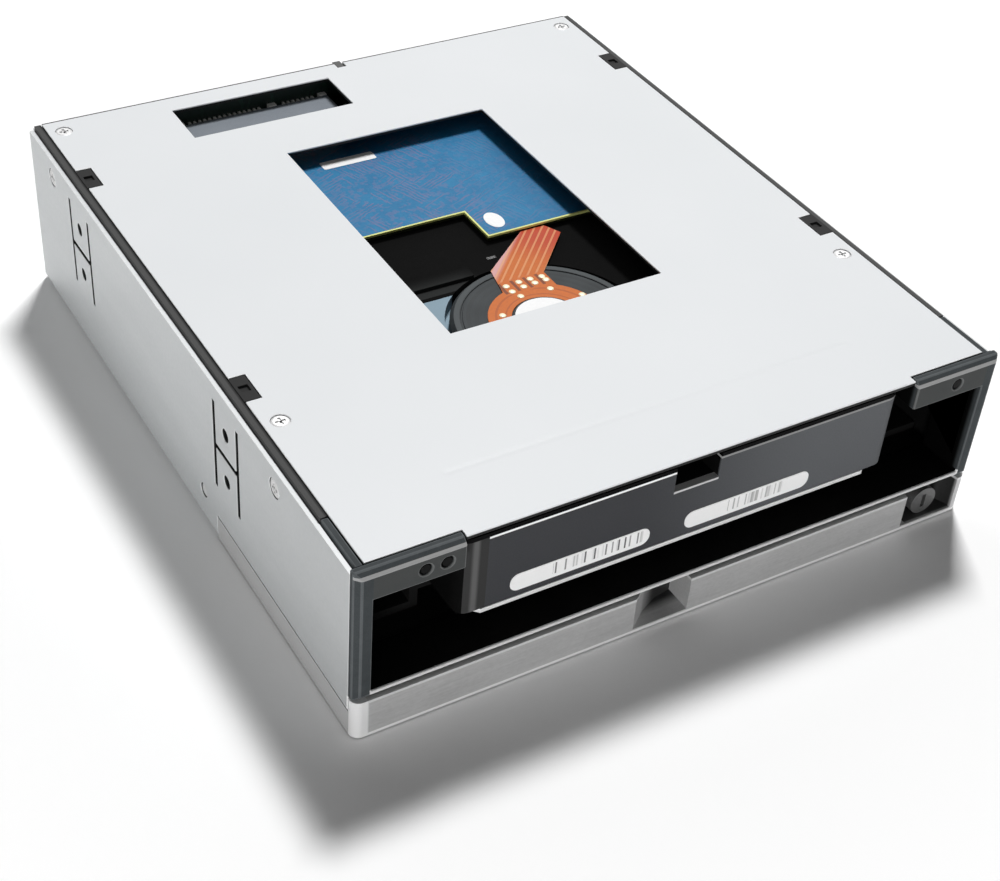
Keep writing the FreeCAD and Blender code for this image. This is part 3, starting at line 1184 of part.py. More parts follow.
def build_door_leaf():
    """Aluminium pan: lip with finger notch and lock recess, leaf, and side flanges flush with the walls."""
    piece = Piece("door_leaf")
    flange_inside = half_width - d.flange_thickness
    upper_outside = wall_inside - d.slide_gap
    leaf_foot = d.leaf_top - d.leaf_thickness
    piece.pad("Y", lip_front, d.flange_length - lip_front, (polygon, [
        (half_width, d.door_foot), (half_width, d.flange_height), (upper_outside, d.flange_height),
        (upper_outside, d.leaf_top), (-upper_outside, d.leaf_top), (-upper_outside, d.flange_height),
        (-half_width, d.flange_height), (-half_width, d.door_foot), (-flange_inside, d.door_foot),
        (-flange_inside, leaf_foot), (flange_inside, leaf_foot), (flange_inside, d.door_foot)]))
    piece.pad("Y", lip_front, d.lip_thickness,
              (rectangle, -half_width, d.door_foot, d.body_width, d.door_top - d.door_foot))
    piece.fillet(d.door_corner, lambda edge: runs_along(edge, ALONG_Z)
                 and near(edge.CenterOfMass.y, lip_front) and near(abs(edge.CenterOfMass.x), half_width))
    # the leaf ends well before the flanges do
    rib_inside = upper_outside - d.leaf_thickness
    piece.pocket("Z", leaf_foot, d.leaf_thickness,
                 (rectangle, -rib_inside, d.leaf_length, rib_inside * 2, d.flange_length - d.leaf_length))
    # hem along the underside of the lip
    hem_front = lip_front + d.lip_thickness
    hem_reach = floor_front - d.slide_gap - hem_front
    piece.pad("Z", d.door_foot, d.hem_thickness,
              (rectangle, -flange_inside, hem_front, flange_inside * 2, hem_reach))
    # walls behind the finger notch and the lock recess, and the block that carries the lock
    piece.pad("Z", d.door_foot, leaf_foot - d.door_foot, (polygon, finger_outline(d.cup_wall, d.cup_set)),
              (half_disc, lock_centre, lip_front + d.cup_set, d.lock_recess + d.cup_wall))
    block_half = d.lock_radius + d.lock_wall
    block_front = lip_front + d.lock_recess
    hem_top = d.door_foot + d.hem_thickness
    piece.pad("Y", block_front, d.lock_rear - block_front,
              (rectangle, lock_centre - block_half, hem_top, block_half * 2, leaf_foot - hem_top))
    piece.pocket("Z", hem_top, d.door_top, (polygon, finger_outline(0, 0)),
                 (circle, lock_centre, lip_front, d.lock_recess))
    piece.pocket("Y", lip_front, d.lock_rear + d.lock_end - lip_front,
                 (circle, lock_centre, d.lock_level, d.lock_radius + d.lock_fit))


def build_door_arms():
    """Plastic arms inside the flanges, and the steel pins that run in the tracks."""
    outside = half_width - d.flange_thickness
    pins = []
    for name, side in (("left_arm", -1), ("right_arm", 1)):
        arm = Piece(name)
        left = outside - d.arm_thickness if side > 0 else -outside
        arm.pad("Z", arm_foot, d.arm_height,
                (rectangle, left, d.arm_front, d.arm_thickness, d.arm_rear - d.arm_front))
        arm.chamfer(d.arm_corner, lambda edge: runs_along(edge, ALONG_Z))
        arm.pocket("X", left, d.arm_thickness, (circle, d.pin_place, pin_level, d.pin_radius))
        pin = solid("Cylinder", f"guide_pin_{len(pins)}", Radius=d.pin_radius,
                    Height=d.arm_thickness + d.track_groove - d.slide_gap)
        pins.append(place(pin, (side * outside, d.pin_place, pin_level), Vector(-side, 0, 0)))
    group("guide_pins", pins)


def build_lock():
    """Lock barrel with its key slot, and the cam behind it."""
    barrel = Piece("lock_barrel")
    face, end = lip_front + d.lock_face, d.lock_rear + d.lock_end
    barrel.pad("Y", face, end - face, (circle, lock_centre, d.lock_level, d.lock_radius))
    barrel.pocket("Y", face, d.key_depth, (rectangle, lock_centre - d.key_width / 2,
                                           d.lock_level - d.key_height / 2, d.key_width, d.key_height))
    cam = Piece("lock_cam")
    cam.pad("Y", end, d.cam_thickness, (rectangle, lock_centre - d.cam_width / 2,
                                        d.lock_level - d.cam_height / 2, d.cam_width, d.cam_height))


# --------------------------------------------------------------------------------------------------
# Build, check and write
# --------------------------------------------------------------------------------------------------

build_window_plate()
build_outer_cover()
build_front_frame()
build_lamps()
build_deck()
build_guide("left_guide", -1)
build_guide("right_guide", 1)
build_leaf_springs()
build_backplane()
build_receptacle()
build_contacts()
build_header("data_header", *header_places[0], DATA_CONTACTS)
build_header("power_header", *header_places[1], POWER_CONTACTS)
build_rear_panel()
build_track("left_track", -1)
build_track("right_track", 1)
build_fasteners()
build_casting()
build_drive_lid()
build_drive_circuit()
build_motor()
build_drive_fasteners()
build_door_leaf()
build_door_arms()
build_lock()
doc.recompute()

for item in doc.Objects:
    if "Invalid" in item.State or "Error" in item.State:
        raise RuntimeError(f"{item.Name} failed: {item.State}")
for item in sub_parts:
    if item.Shape.isNull() or not item.Shape.isValid() or not item.Shape.Solids:
        raise RuntimeError(f"{item.Label} has no valid solid")

os.makedirs("parts", exist_ok=True)
for item in sub_parts:
    item.Shape.exportStep(f"parts/{item.Label}.step")
    print(f"{item.Label}: {len(item.Shape.Solids)} solid(s), {item.Shape.Volume:.0f} mm3")
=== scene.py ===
# %% [markdown]
# # A hot swap drive cage, dressed for a render
# The cage is a steel box half as high as a drive bay. A disk drive slides into its mouth
# without a tray, and a window in the top plate shows the drive's circuit board and motor.
# Its exact solids are loaded first, as a fixed frame. Later steps take their places from the
# boxes of that frame, so a change of size in the model moves most details with it.

# %% Load the frame
import json
import math

import bmesh
import bpy
from mathutils import Matrix, Vector

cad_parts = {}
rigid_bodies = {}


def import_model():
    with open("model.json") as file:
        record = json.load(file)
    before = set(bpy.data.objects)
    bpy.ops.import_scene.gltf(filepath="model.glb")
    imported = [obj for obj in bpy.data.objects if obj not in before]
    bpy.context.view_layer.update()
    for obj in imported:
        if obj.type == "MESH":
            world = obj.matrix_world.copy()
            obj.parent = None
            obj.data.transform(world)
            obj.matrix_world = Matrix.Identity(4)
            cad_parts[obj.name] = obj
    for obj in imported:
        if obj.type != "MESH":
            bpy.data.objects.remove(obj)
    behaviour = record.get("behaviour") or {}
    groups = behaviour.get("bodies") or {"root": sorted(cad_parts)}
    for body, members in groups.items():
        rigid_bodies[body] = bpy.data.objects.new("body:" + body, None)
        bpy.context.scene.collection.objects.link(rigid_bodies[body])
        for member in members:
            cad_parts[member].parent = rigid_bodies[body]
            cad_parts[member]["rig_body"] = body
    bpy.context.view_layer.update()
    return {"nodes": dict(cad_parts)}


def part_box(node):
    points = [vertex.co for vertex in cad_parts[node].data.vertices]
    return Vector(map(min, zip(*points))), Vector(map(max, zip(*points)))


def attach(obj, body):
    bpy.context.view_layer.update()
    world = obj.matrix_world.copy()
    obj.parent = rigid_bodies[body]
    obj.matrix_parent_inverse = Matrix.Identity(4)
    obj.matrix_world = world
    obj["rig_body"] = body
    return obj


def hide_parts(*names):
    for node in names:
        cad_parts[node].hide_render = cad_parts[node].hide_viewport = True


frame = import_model()
MM = 0.001


def in_mm(lengths):
    """Lengths in millimetres, rounded for printing."""
    return [round(length / MM, 1) for length in lengths]


# %% [markdown]
# ## Node maths written as sums
# Every finish below is worked out from position: a brushed grain, a stripe of a bar label, a
# ring on a motor. Blender can wire that by hand, node by node, but such wiring is hard to read.
# So one small class stands for a socket, and ordinary sums and products on it add the nodes.
# The recipe class underneath serves shader trees and geometry trees alike, as both are made
# with the same calls.

# %% A socket that takes sums, and a recipe that makes nodes
class Value:
    """One output of a node tree, which sums and products carry on from."""

    def __init__(self, recipe, socket):
        self.recipe, self.socket = recipe, socket

    def maths(self, operation, first, second):
        return self.recipe.node("ShaderNodeMath", {"operation": operation}, {0: first, 1: second})

    def __rsub__(self, other):
        return self.maths("SUBTRACT", other, self)


# Every sign or named step of a value adds one maths node.
STEPS = {"__add__": "ADD", "__radd__": "ADD", "__sub__": "SUBTRACT", "__mul__": "MULTIPLY",
         "__truediv__": "DIVIDE", "__gt__": "GREATER_THAN", "__lt__": "LESS_THAN",
         "__abs__": "ABSOLUTE", "whole": "FLOOR", "rest": "FRACT", "root": "SQRT",
         "either": "MAXIMUM"}
for step, operation in STEPS.items():
    setattr(Value, step, lambda value, other=0.0, operation=operation:
            value.maths(operation, value, other))


class Recipe:
    """A node tree that is written as a list of steps."""

    def __init__(self, tree):
        self.tree = tree

    def node(self, kind, settings=None, sockets=None, out=0):
        """Adds a node. Its settings come first, because they can change which sockets it has."""
        made = self.tree.nodes.new(kind)
        for name, setting in (settings or {}).items():
            setattr(made, name, setting)
        for name, given in (sockets or {}).items():
            if isinstance(given, Value):
                self.tree.links.new(given.socket, made.inputs[name])
            else:
                made.inputs[name].default_value = given
        return Value(self, made.outputs[out])

    def end(self, kind, value):
        """Ends the tree with an output node that takes the value."""
        output = self.tree.nodes.new(kind)
        self.tree.links.new(value.socket, output.inputs[0])


def between(value, low, high):
    """A mask that is one where the value lies between two limits."""
    return (value > low) * (value < high)


def off(place, *steps):
    """Places that lie some steps in millimetres off a given one."""
    return [place + step * MM for step in steps]


print("steps of a value:", *STEPS)

# %% [markdown]
# ## One class for every finish
# A real surface is never one flat colour. Paint has a faint orange peel, rolled steel has a
# grain, moulded plastic has a fine spark texture. The finish class holds the few patterns that
# such surfaces are made of. Only the colour, the roughness, the metal share and the bump change
# over a surface, because those can be baked into pictures when the part is exported.

# %% The finish class
def shade(red, green, blue):
    """A colour in the everyday 0 to 255 steps, as the linear numbers that a shader uses.
    The numbers of the curve are those of the sRGB standard."""
    steps = [channel / 255 for channel in (red, green, blue)]
    return tuple(step / 12.92 if step <= 0.04045 else ((step + 0.055) / 1.055) ** 2.4
                 for step in steps)


def grey(level):
    return shade(level, level, level)


def filled(colour):
    """A fixed colour with the fourth number that its socket wants. A value stays as it is."""
    return (*colour, 1.0) if isinstance(colour, tuple) else colour


# A Mix node has several sockets of each name, so its colours and its result go by number.
MIX_UNDER, MIX_OVER, MIX_RESULT = 6, 7, 2


class Finish(Recipe):
    """A material made of one Principled shader and the steps that feed it."""

    def __init__(self, name):
        self.material = bpy.data.materials.new(name)
        self.material.use_nodes = True
        super().__init__(self.material.node_tree)
        self.tree.nodes.clear()
        self.place = self.node("ShaderNodeTexCoord", out="Object")
        self.x, self.y, self.z = [
            self.node("ShaderNodeSeparateXYZ", sockets={0: self.place}, out=axis)
            for axis in range(3)]

    def noise(self, size, detail, stretch=(1, 1, 1)):
        """Cloudy noise whose lumps measure about the given size in metres."""
        place = self.node("ShaderNodeMapping", sockets={"Vector": self.place, "Scale": stretch})
        return self.node("ShaderNodeTexNoise", sockets={
            "Vector": place, "Scale": 1 / size, "Detail": detail})

    def cells(self, size):
        """A random number for each cell of a scattered net."""
        colour = self.node("ShaderNodeTexVoronoi", sockets={
            "Vector": self.place, "Scale": 1 / size}, out="Color")
        return self.node("ShaderNodeSeparateColor", sockets={0: colour})

    def chance(self, number):
        """A random number that is the same wherever the given number is."""
        return self.node("ShaderNodeTexWhiteNoise", {"noise_dimensions": "1D"}, {"W": number})

    def fade(self, value, start, end):
        """Zero at the start, one at the end, and smooth between them. The end may be lower."""
        return self.node("ShaderNodeMapRange", {"interpolation_type": "SMOOTHSTEP"},
                         {"Value": value, "From Min": start, "From Max": end})

    def blend(self, mask, under, over):
        """One colour painted over another where the mask is one."""
        return self.node("ShaderNodeMix", {"data_type": "RGBA"}, {
            "Factor": mask, MIX_UNDER: filled(under), MIX_OVER: filled(over)}, out=MIX_RESULT)

    def base(self, mask, low, high):
        """The first coat, whose tone the mask sets between two colours."""
        self.colour = self.blend(mask, low, high)

    def paint(self, mask, over):
        """One more coat, where the mask is one."""
        self.colour = self.blend(mask, self.colour, over)

    def reach(self, centre):
        """Distance from an upright line through a point, for rings and round patches."""
        across, along = self.x - centre[0], self.y - centre[1]
        return (across * across + along * along).root()

    def surface(self, roughness, metal=0.0, height=None, depth=0.03 * MM, gloss=0.5):
        """Ends the recipe. Height and depth make the bump, and gloss is the mirror share."""
        sockets = {"Base Color": self.colour, "Roughness": roughness, "Metallic": metal,
                   "Specular IOR Level": gloss}
        if height is not None:
            bump = {"Height": height, "Distance": depth}
            sockets["Normal"] = self.node("ShaderNodeBump", sockets=bump)
        self.end("ShaderNodeOutputMaterial", self.node("ShaderNodeBsdfPrincipled", sockets=sockets))
        return self.material


print("a grey of 128 is", round(grey(128)[0], 3), "in linear light")

# %% [markdown]
# ## From solid to piece
# The frame's solids have dead sharp edges, and no real edge is that sharp: punched steel has a
# rounded rim and moulded plastic a small radius, and both catch a thin line of light. The solid
# itself must not change, so each piece is a copy. Its loose triangles are merged, flat areas
# are joined again, and Blender's Bevel rounds every edge that turns by more than 30 degrees.
# Weighted normals let the large sides decide how a corner is lit, so flat sides stay flat. The
# rounded faces may get a paler finish of their own: a painted highlight along the edges.

# %% Helpers that turn a solid into a finished piece
def placed(name, data):
    """An object for some data, linked to the scene."""
    made = bpy.data.objects.new(name, data)
    bpy.context.scene.collection.objects.link(made)
    return made


def shaped(name, shape, material):
    """An object for a finished bmesh."""
    mesh = bpy.data.meshes.new(name)
    shape.to_mesh(mesh)
    shape.free()
    mesh.materials.append(material)
    return placed(name, mesh)


def ride_with(piece, node):
    """The piece is a detail on a node and rides with it. The node still shows."""
    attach(piece, frame["nodes"][node]["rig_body"])
    return piece


def carry(piece, node):
    """The piece rides with a node and is shown in its place."""
    ride_with(piece, node)
    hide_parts(node)
    return piece


def bake(piece):
    """Puts the result of the modifiers in the mesh and takes the modifiers off."""
    evaluated = piece.evaluated_get(bpy.context.evaluated_depsgraph_get())
    mesh = bpy.data.meshes.new_from_object(evaluated)
    mesh.name = piece.name
    piece.modifiers.clear()
    piece.data = mesh
    return piece


def whole_mesh(node):
    """The solid of a node as an editable mesh, merged and with its flat areas joined."""
    solid = bmesh.new()
    solid.from_mesh(frame["nodes"][node].data)
    bmesh.ops.remove_doubles(solid, verts=solid.verts, dist=0.002 * MM)
    bmesh.ops.dissolve_limit(solid, angle_limit=math.radians(0.5), verts=solid.verts,
                             edges=solid.edges)
    return solid


def round_edges(piece, radius, edge):
    """Rounds the sharp edges of a piece; a paler finish on them is a painted highlight."""
    piece.data.shade_smooth()
    bevel = piece.modifiers.new("rounding", "BEVEL")
    bevel.width, bevel.segments = radius, 2
    bevel.limit_method, bevel.angle_limit = "ANGLE", math.radians(30)
    # The edge finish, when given, is paler: a painted highlight.
    if edge:
        piece.data.materials.append(edge)
        bevel.material = 1
    flats = piece.modifiers.new("flat sides", "WEIGHTED_NORMAL")
    flats.mode, flats.weight, flats.keep_sharp = "FACE_AREA", 50, True
    return bake(piece)


def solid_piece(node, material):
    """A copy of a node's solid as an object of its own."""
    return shaped(f"{node}_piece", whole_mesh(node), material)


def eased(nodes, material, radius, edge=None):
    """A piece for each node named: its solid with edges of a radius in millimetres."""
    for node in nodes.split():
        carry(round_edges(solid_piece(node, material), radius * MM, edge), node)


print("flat faces of the plate:", len(whole_mesh("window_plate").faces))

# %% [markdown]
# ## Painted and plain steel
# The window plate is thin steel with a pale satin coat. Such a coat is almost even, with a very
# slow cloudiness and a fine peel that only shows in a glancing light. Its punched edges are bare,
# and their cut walls are painted near black, a painted shade; a thin painted shadow runs along
# its rear edge, where it meets the rear sheet. The line pressed across its front has steep walls
# in the solid, and a press leaves sloping ones, so the corners of its floor are drawn together.
# Its rounded edges get a paler coat, a painted highlight. The cover's steel is silver grey, with
# a share of metal and slow streaks. A picture of the coat could be wrapped round the sheet
# instead, but noise needs no seams and has no end.

# %% Finishes of the outer shells
plate_low, plate_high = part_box("window_plate")
cover_low, cover_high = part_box("outer_cover")
SILVER = shade(188, 192, 193), shade(216, 218, 219)


def painted_plate(name, low, high):
    """The coat stops at the punched edges; their cut walls are painted dark, a painted shade."""
    finish = Finish(name)
    clouds, peel = finish.noise(45 * MM, 3), finish.noise(0.5 * MM, 2)
    # Cut walls painted near black are a painted shade, and the dark rear line a painted shadow.
    cut = finish.fade(finish.z, *off(plate_high.z, -0.24, -0.36))
    rear = finish.fade(finish.y, *off(plate_high.y, -0.55, -0.4))
    finish.base(clouds, low, high)
    finish.paint(cut.either(rear), grey(14))
    return finish.surface(0.42 + peel * 0.1, height=peel, depth=0.01 * MM, gloss=0.25)


def satin_silver(finish, peel):
    """Ends a silver finish, which is a little metallic and has the peel as its bump."""
    return finish.surface(0.4 + peel * 0.16, metal=0.15, height=peel, depth=0.014 * MM)


def silver_cover(name, low, high):
    """Silver; painted shade towards the mouth and on the cut walls, a painted highlight in front.
    """
    finish = Finish(name)
    streaks, peel = finish.noise(6 * MM, 3, (1, 0.12, 1)), finish.noise(0.9 * MM, 3)
    finish.base(streaks * 0.45 + peel * 0.55, low, high)
    # Painted shade, darker towards the mouth.
    front_shade = finish.fade(finish.y, *off(cover_low.y, 90, 5)) * 0.22
    # The bright front edge below the frame is a painted highlight.
    bare = (finish.y < cover_low.y + 0.3 * MM) * (finish.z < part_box("front_frame")[0].z)
    finish.paint(front_shade, grey(150))
    finish.paint(bare, grey(250))
    # The cut walls are painted near black, a painted shade.
    cut = finish.fade(abs(finish.x), *off(cover_high.x, -0.1, -0.25))
    cut = cut * between(finish.z, cover_low.z + 2 * MM, cover_high.z - 0.4 * MM)
    cut = cut * between(finish.y, cover_low.y + 2 * MM, cover_high.y - 2 * MM)
    finish.paint(cut, grey(8))
    return satin_silver(finish, peel)


def rear_coat():
    """The same coat on the rear sheet, whose top edge is a painted shadow under the plate."""
    finish = Finish("rear_coat")
    panel_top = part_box("rear_panel")[1].z
    peel = finish.noise(0.9 * MM, 3)
    # The dark top edge is a painted shadow of the gap under the plate's rear edge.
    top = finish.fade(finish.z, *off(panel_top, -0.4, -0.15))
    finish.base(peel, *SILVER)
    finish.paint(top, grey(40))
    return satin_silver(finish, peel)


def pressed_plate():
    """The plate, with sloping walls beside its pressed line."""
    coat = painted_plate("plate_coat", shade(224, 227, 229), shade(231, 233, 235))
    piece = solid_piece("window_plate", coat)
    solid_floor, pressed_floor = off(plate_high.z, -0.25, -0.18)
    zone_end = plate_low.y + 25 * MM
    narrowed, shortened = 0.3, 0.985
    floor = [corner for corner in piece.data.vertices
             if abs(corner.co.z - solid_floor) < 0.01 * MM and corner.co.y < zone_end]
    rows = [corner.co.y for corner in floor]
    middle = (min(rows) + max(rows)) / 2
    for corner in floor:
        corner.co.y = middle + (corner.co.y - middle) * narrowed
        corner.co.x *= shortened
        corner.co.z = pressed_floor
    # The paler coat of the rounded edges is a painted highlight.
    edge = painted_plate("plate_edge", shade(236, 238, 239), shade(242, 243, 244))
    carry(round_edges(piece, 0.1 * MM, edge), "window_plate")


pressed_plate()
silver_coat = silver_cover("silver_coat", *SILVER)
# The paler coat of the rounded edges is a painted highlight.
silver_edge = silver_cover("silver_edge", shade(222, 224, 225), shade(236, 237, 238))
eased("outer_cover", silver_coat, 0.16, silver_edge)
eased("rear_panel", rear_coat(), 0.12)
print("shells:", in_mm(cover_high - cover_low), "mm")

# %% [markdown]
# ## The moulded front frame and the black inner parts
# The frame round the mouth is moulded plastic with a wide bevel, in a dark cool grey. A mould
# is etched, so the plastic shows a fine even grain. Its rounded edges are painted paler, a
# painted highlight, as are a line along its crest and the front of its sill; the rest of the
# sill is black, and the inside of the mouth is painted black, a painted shade. The lamp blocks
# are paler. All these could be pieces of their own, but masks on one finish keep the frame whole.
# The guides, the deck and the door tracks are black, and the connectors are a bluish grey.

# %% Finishes of the plastic and the black parts
def etched_plastic(name, low, high, roughness, gloss):
    """A fine even grain over slow clouds."""
    finish = Finish(name)
    grain, clouds = finish.noise(0.25 * MM, 2), finish.noise(12 * MM, 3)
    finish.base(grain * 0.6 + clouds * 0.4, low, high)
    return finish.surface(roughness + grain * 0.15, height=grain, gloss=gloss)


frame_low, frame_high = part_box("front_frame")


def frame_plastic(name, low, high, block, sill):
    """Dark sides, paler lamp blocks, painted highlights on crest and sill, painted shade inside."""
    finish = Finish(name)
    grain, clouds = finish.noise(0.25 * MM, 2), finish.noise(3 * MM, 3)
    mottle = grain * 0.5 + clouds * 0.5
    finish.base(mottle, low, high)
    upper = finish.fade(finish.z, *off(frame_high.z, -7.2, -6.4))
    upper = upper * (finish.y < frame_low.y + 0.5 * MM) * (abs(finish.x) < frame_high.x - 3.4 * MM)
    finish.paint(upper * (0.4 + mottle * 0.6), block)
    # The pale crest line is a painted highlight.
    crest = between(finish.z, *off(frame_high.z, -1.45, -0.8))
    crest = crest * (finish.y < frame_low.y + 1.3 * MM)
    finish.paint(crest * 0.8, grey(176))
    low_bar = (finish.z < frame_low.z + 2.4 * MM) * (abs(finish.x) < frame_high.x - 3.2 * MM)
    # The pale front of the sill is a painted highlight; the rest of the sill is black.
    sill_highlight = finish.fade(finish.z, *off(frame_low.z, 0.6, 0.75))
    sill_highlight = sill_highlight * (finish.y < frame_low.y + 0.45 * MM)
    # The inside of the mouth is painted black, a painted shade.
    mouth_shade = finish.fade(finish.y, *off(frame_low.y, 0.6, 1.8))
    inner = (finish.z < frame_high.z - 1.4 * MM) * (abs(finish.x) < frame_high.x - 2.6 * MM)
    finish.paint(mouth_shade * inner, grey(4))
    finish.paint(low_bar, finish.blend(sill_highlight, grey(3), sill))
    return finish.surface(0.5 + grain * 0.15, height=grain, gloss=0.05)


def hooked_guide():
    """Black, but grey on the narrow strip of its top that shows beside the plate."""
    finish = Finish("guide_grain")
    grain = finish.noise(0.25 * MM, 2)
    beside = finish.fade(abs(finish.x), *off(plate_high.x, 0.4, 0.8))
    black, grey_top = finish.blend(grain, grey(9), grey(24)), finish.blend(grain, grey(54), grey(78))
    finish.base((finish.z > plate_low.z - 0.6 * MM) * beside, black, grey_top)
    return finish.surface(0.55 + grain * 0.15, height=grain, gloss=0.15)


inner_black = etched_plastic("black_grain", grey(16), grey(30), roughness=0.55, gloss=0.12)
hook_black = hooked_guide()
plug_grey = etched_plastic("plug_grain", shade(104, 112, 120), shade(138, 144, 152),
                           roughness=0.4, gloss=0.2)
deck_black = etched_plastic("deck_coat", grey(3), grey(9), roughness=0.6, gloss=0.12)
frame_side = frame_plastic("frame_grain", shade(50, 54, 56), shade(78, 82, 84),
                           block=shade(74, 75, 74), sill=grey(214))
# The paler finish of the rounded edges is a painted highlight.
frame_edge = frame_plastic("frame_edge", shade(76, 80, 82), shade(104, 108, 110),
                           block=shade(110, 111, 110), sill=grey(228))
eased("front_frame", frame_side, 0.35, frame_edge)
eased("left_guide right_guide", hook_black, 0.2)
eased("left_track right_track", inner_black, 0.2)
eased("deck", deck_black, 0.2)
eased("drive_receptacle data_header power_header drive_plug", plug_grey, 0.12)
print("front frame:", in_mm(frame_high - frame_low), "mm")

# %% [markdown]
# ## Bright metal
# Screws, springs and the drive's lid are plated. Plating is a mirror that has been scratched a
# little, so the base is metallic and the roughness changes along fine streaks. The door is
# aluminium that was brushed from side to side before it was anodised, so its streaks are long
# and cut deeper. Its foot, its crest and its left end are painted bright, a painted highlight,
# and so are its rounded edges; its finger notch and lock recess are painted dark, a painted
# shade. The door's arms and the lid's gasket are black, as the parts above.

# %% Finishes of the bright metal
def plated(name, low, high, roughness, stretch=(1, 1, 1), metal=0.6):
    """Plating whose tone and roughness follow fine scratches."""
    finish = Finish(name)
    streaks = finish.noise(0.35 * MM, 3, stretch)
    finish.base(streaks, low, high)
    return finish.surface(roughness + streaks * 0.2, metal, streaks, depth=0.01 * MM)


door_low, door_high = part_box("door_leaf")


def brushed_door(name, low_grey, high_grey, highlight_grey):
    """Streaks across the leaf. Its two pockets get darker deeper in, a painted shade."""
    finish = Finish(name)
    streaks = finish.noise(0.5 * MM, 4, (0.04, 1, 1))
    fine, patches = finish.noise(0.45 * MM, 3, (0.5, 1, 1)), finish.noise(9 * MM, 3)
    finish.base(streaks * 0.4 + fine * 0.35 + patches * 0.25, low_grey, high_grey)
    # The bright foot, crest and left end are painted highlights.
    foot = finish.fade(finish.z, *off(door_low.z, 0.85, 0.5))
    crest = finish.fade(finish.z, *off(door_high.z, -0.75, -0.45))
    crest = crest * (finish.y < door_low.y + 2.4 * MM) * 0.6
    left_end = finish.fade(finish.x, *off(door_low.x, 3.3, 2.8))
    finish.paint(foot.either(crest).either(left_end), highlight_grey)
    side = (abs(finish.x) > door_high.x - 0.1 * MM) * (finish.y > door_low.y + 2 * MM)
    finish.paint(side, grey(200))
    # The finger notch and the lock recess are painted dark towards the back, a painted shade.
    notch_left, notch_right = -14 * MM, 1.15 * MM
    finger = finish.fade(finish.y, *off(door_low.y, 2.2, 5.2))
    finger = finger * between(finish.x, notch_left, notch_right)
    lock_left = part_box("lock_barrel")[0].x - 2 * MM
    lock = (finish.x > lock_left) * finish.fade(finish.y, *off(door_low.y, 0.1, 0.9))
    inside = (1 - side) * (finish.z < door_high.z - 0.7 * MM)
    finish.paint((finger + lock) * inside * 0.95, grey(8))
    return finish.surface(0.34 + streaks * 0.25, metal=0.3, height=streaks + fine)


screw_plate = plated("screw_plating", grey(200), grey(232), roughness=0.34, metal=0.25)
spring_plate = plated("spring_steel", grey(150), grey(200), roughness=0.22, stretch=(1, 0.1, 1))
lid_plate = plated("lid_steel", grey(230), grey(252), roughness=0.3, stretch=(0.2, 1, 1),
                   metal=0.2)
lock_plate = plated("lock_zinc", grey(84), grey(124), roughness=0.32)
door_skin = brushed_door("brushed_aluminium", grey(158), grey(216), grey(246))
# The paler finish of the rounded edges is a painted highlight.
door_edge = brushed_door("brushed_edge", grey(206), grey(228), grey(236))
eased("door_leaf", door_skin, 0.2, door_edge)
eased("leaf_springs", spring_plate, 0.05)
eased("drive_lid", lid_plate, 0.12)
eased("lock_barrel", lock_plate, 0.15)
eased("lock_cam", lock_plate, 0.1)
eased("guide_pins", screw_plate, 0.1)
eased("left_arm right_arm", inner_black, 0.25)
eased("lid_gasket", deck_black, 0.1)
print("door leaf:", in_mm(door_high - door_low), "mm")

# %% [markdown]
# ## Screws and rivets from one geometry tree
# The cage and the drive are held by pan head screws with a cross recess. Copies of a head could
# be made with a loop, but then each one carries its own mesh. Geometry Nodes make one head and
# set it on every point of a small cloud, turned to face the way the point says. The inputs of
# the tree are the sizes of the head, so one tree makes every kind of screw. A second tree makes
# low domes, for rivets and dots of solder.

# %% The tree that sets a head on every point
class Shape(Recipe):
    """A geometry tree with named inputs, which ends in plain mesh with a material."""

    def __init__(self, name, inputs):
        group = bpy.data.node_groups.new(name, "GeometryNodeTree")
        super().__init__(group)
        kinds = {"Points": "Geometry", **dict.fromkeys(inputs, "Float"), "Material": "Material"}
        for title, kind in kinds.items():
            group.interface.new_socket(title, in_out="INPUT", socket_type=f"NodeSocket{kind}")
        group.interface.new_socket("Mesh", in_out="OUTPUT", socket_type="NodeSocketGeometry")
        given = group.nodes.new("NodeGroupInput")
        self.given = {socket.name: Value(self, socket) for socket in given.outputs if socket.name}

    def vector(self, x, y, z):
        return self.node("ShaderNodeCombineXYZ", sockets={0: x, 1: y, 2: z})

    def moved(self, mesh, **change):
        return self.node("GeometryNodeTransform", sockets={"Geometry": mesh, **change})

    def finish(self, head):
        """Sets the head on each point, turned along the point's facing, and ends the tree."""
        facing = self.node("GeometryNodeInputNamedAttribute", {"data_type": "FLOAT_VECTOR"},
                           {"Name": "facing"})
        turn = self.node("FunctionNodeAlignRotationToVector", {"axis": "Z"}, {"Vector": facing})
        spread = self.node("GeometryNodeInstanceOnPoints", sockets={
            "Points": self.given["Points"], "Instance": head, "Rotation": turn})
        plain = self.node("GeometryNodeRealizeInstances", sockets={0: spread})
        made = self.node("GeometryNodeSetMaterial", sockets={
            "Geometry": plain, "Material": self.given["Material"]})
        self.end("NodeGroupOutput", made)
        return self.tree


# Shares of a head's sizes. Its rim is centred on the point, and the crown lies on the rim.
RIM, CROWN, CROWN_WIDTH, BAR_WIDTH, BAR_HEIGHT = 0.6, 0.4, 0.78, 0.28, 0.9
HEAD_TOP = RIM / 2 + CROWN


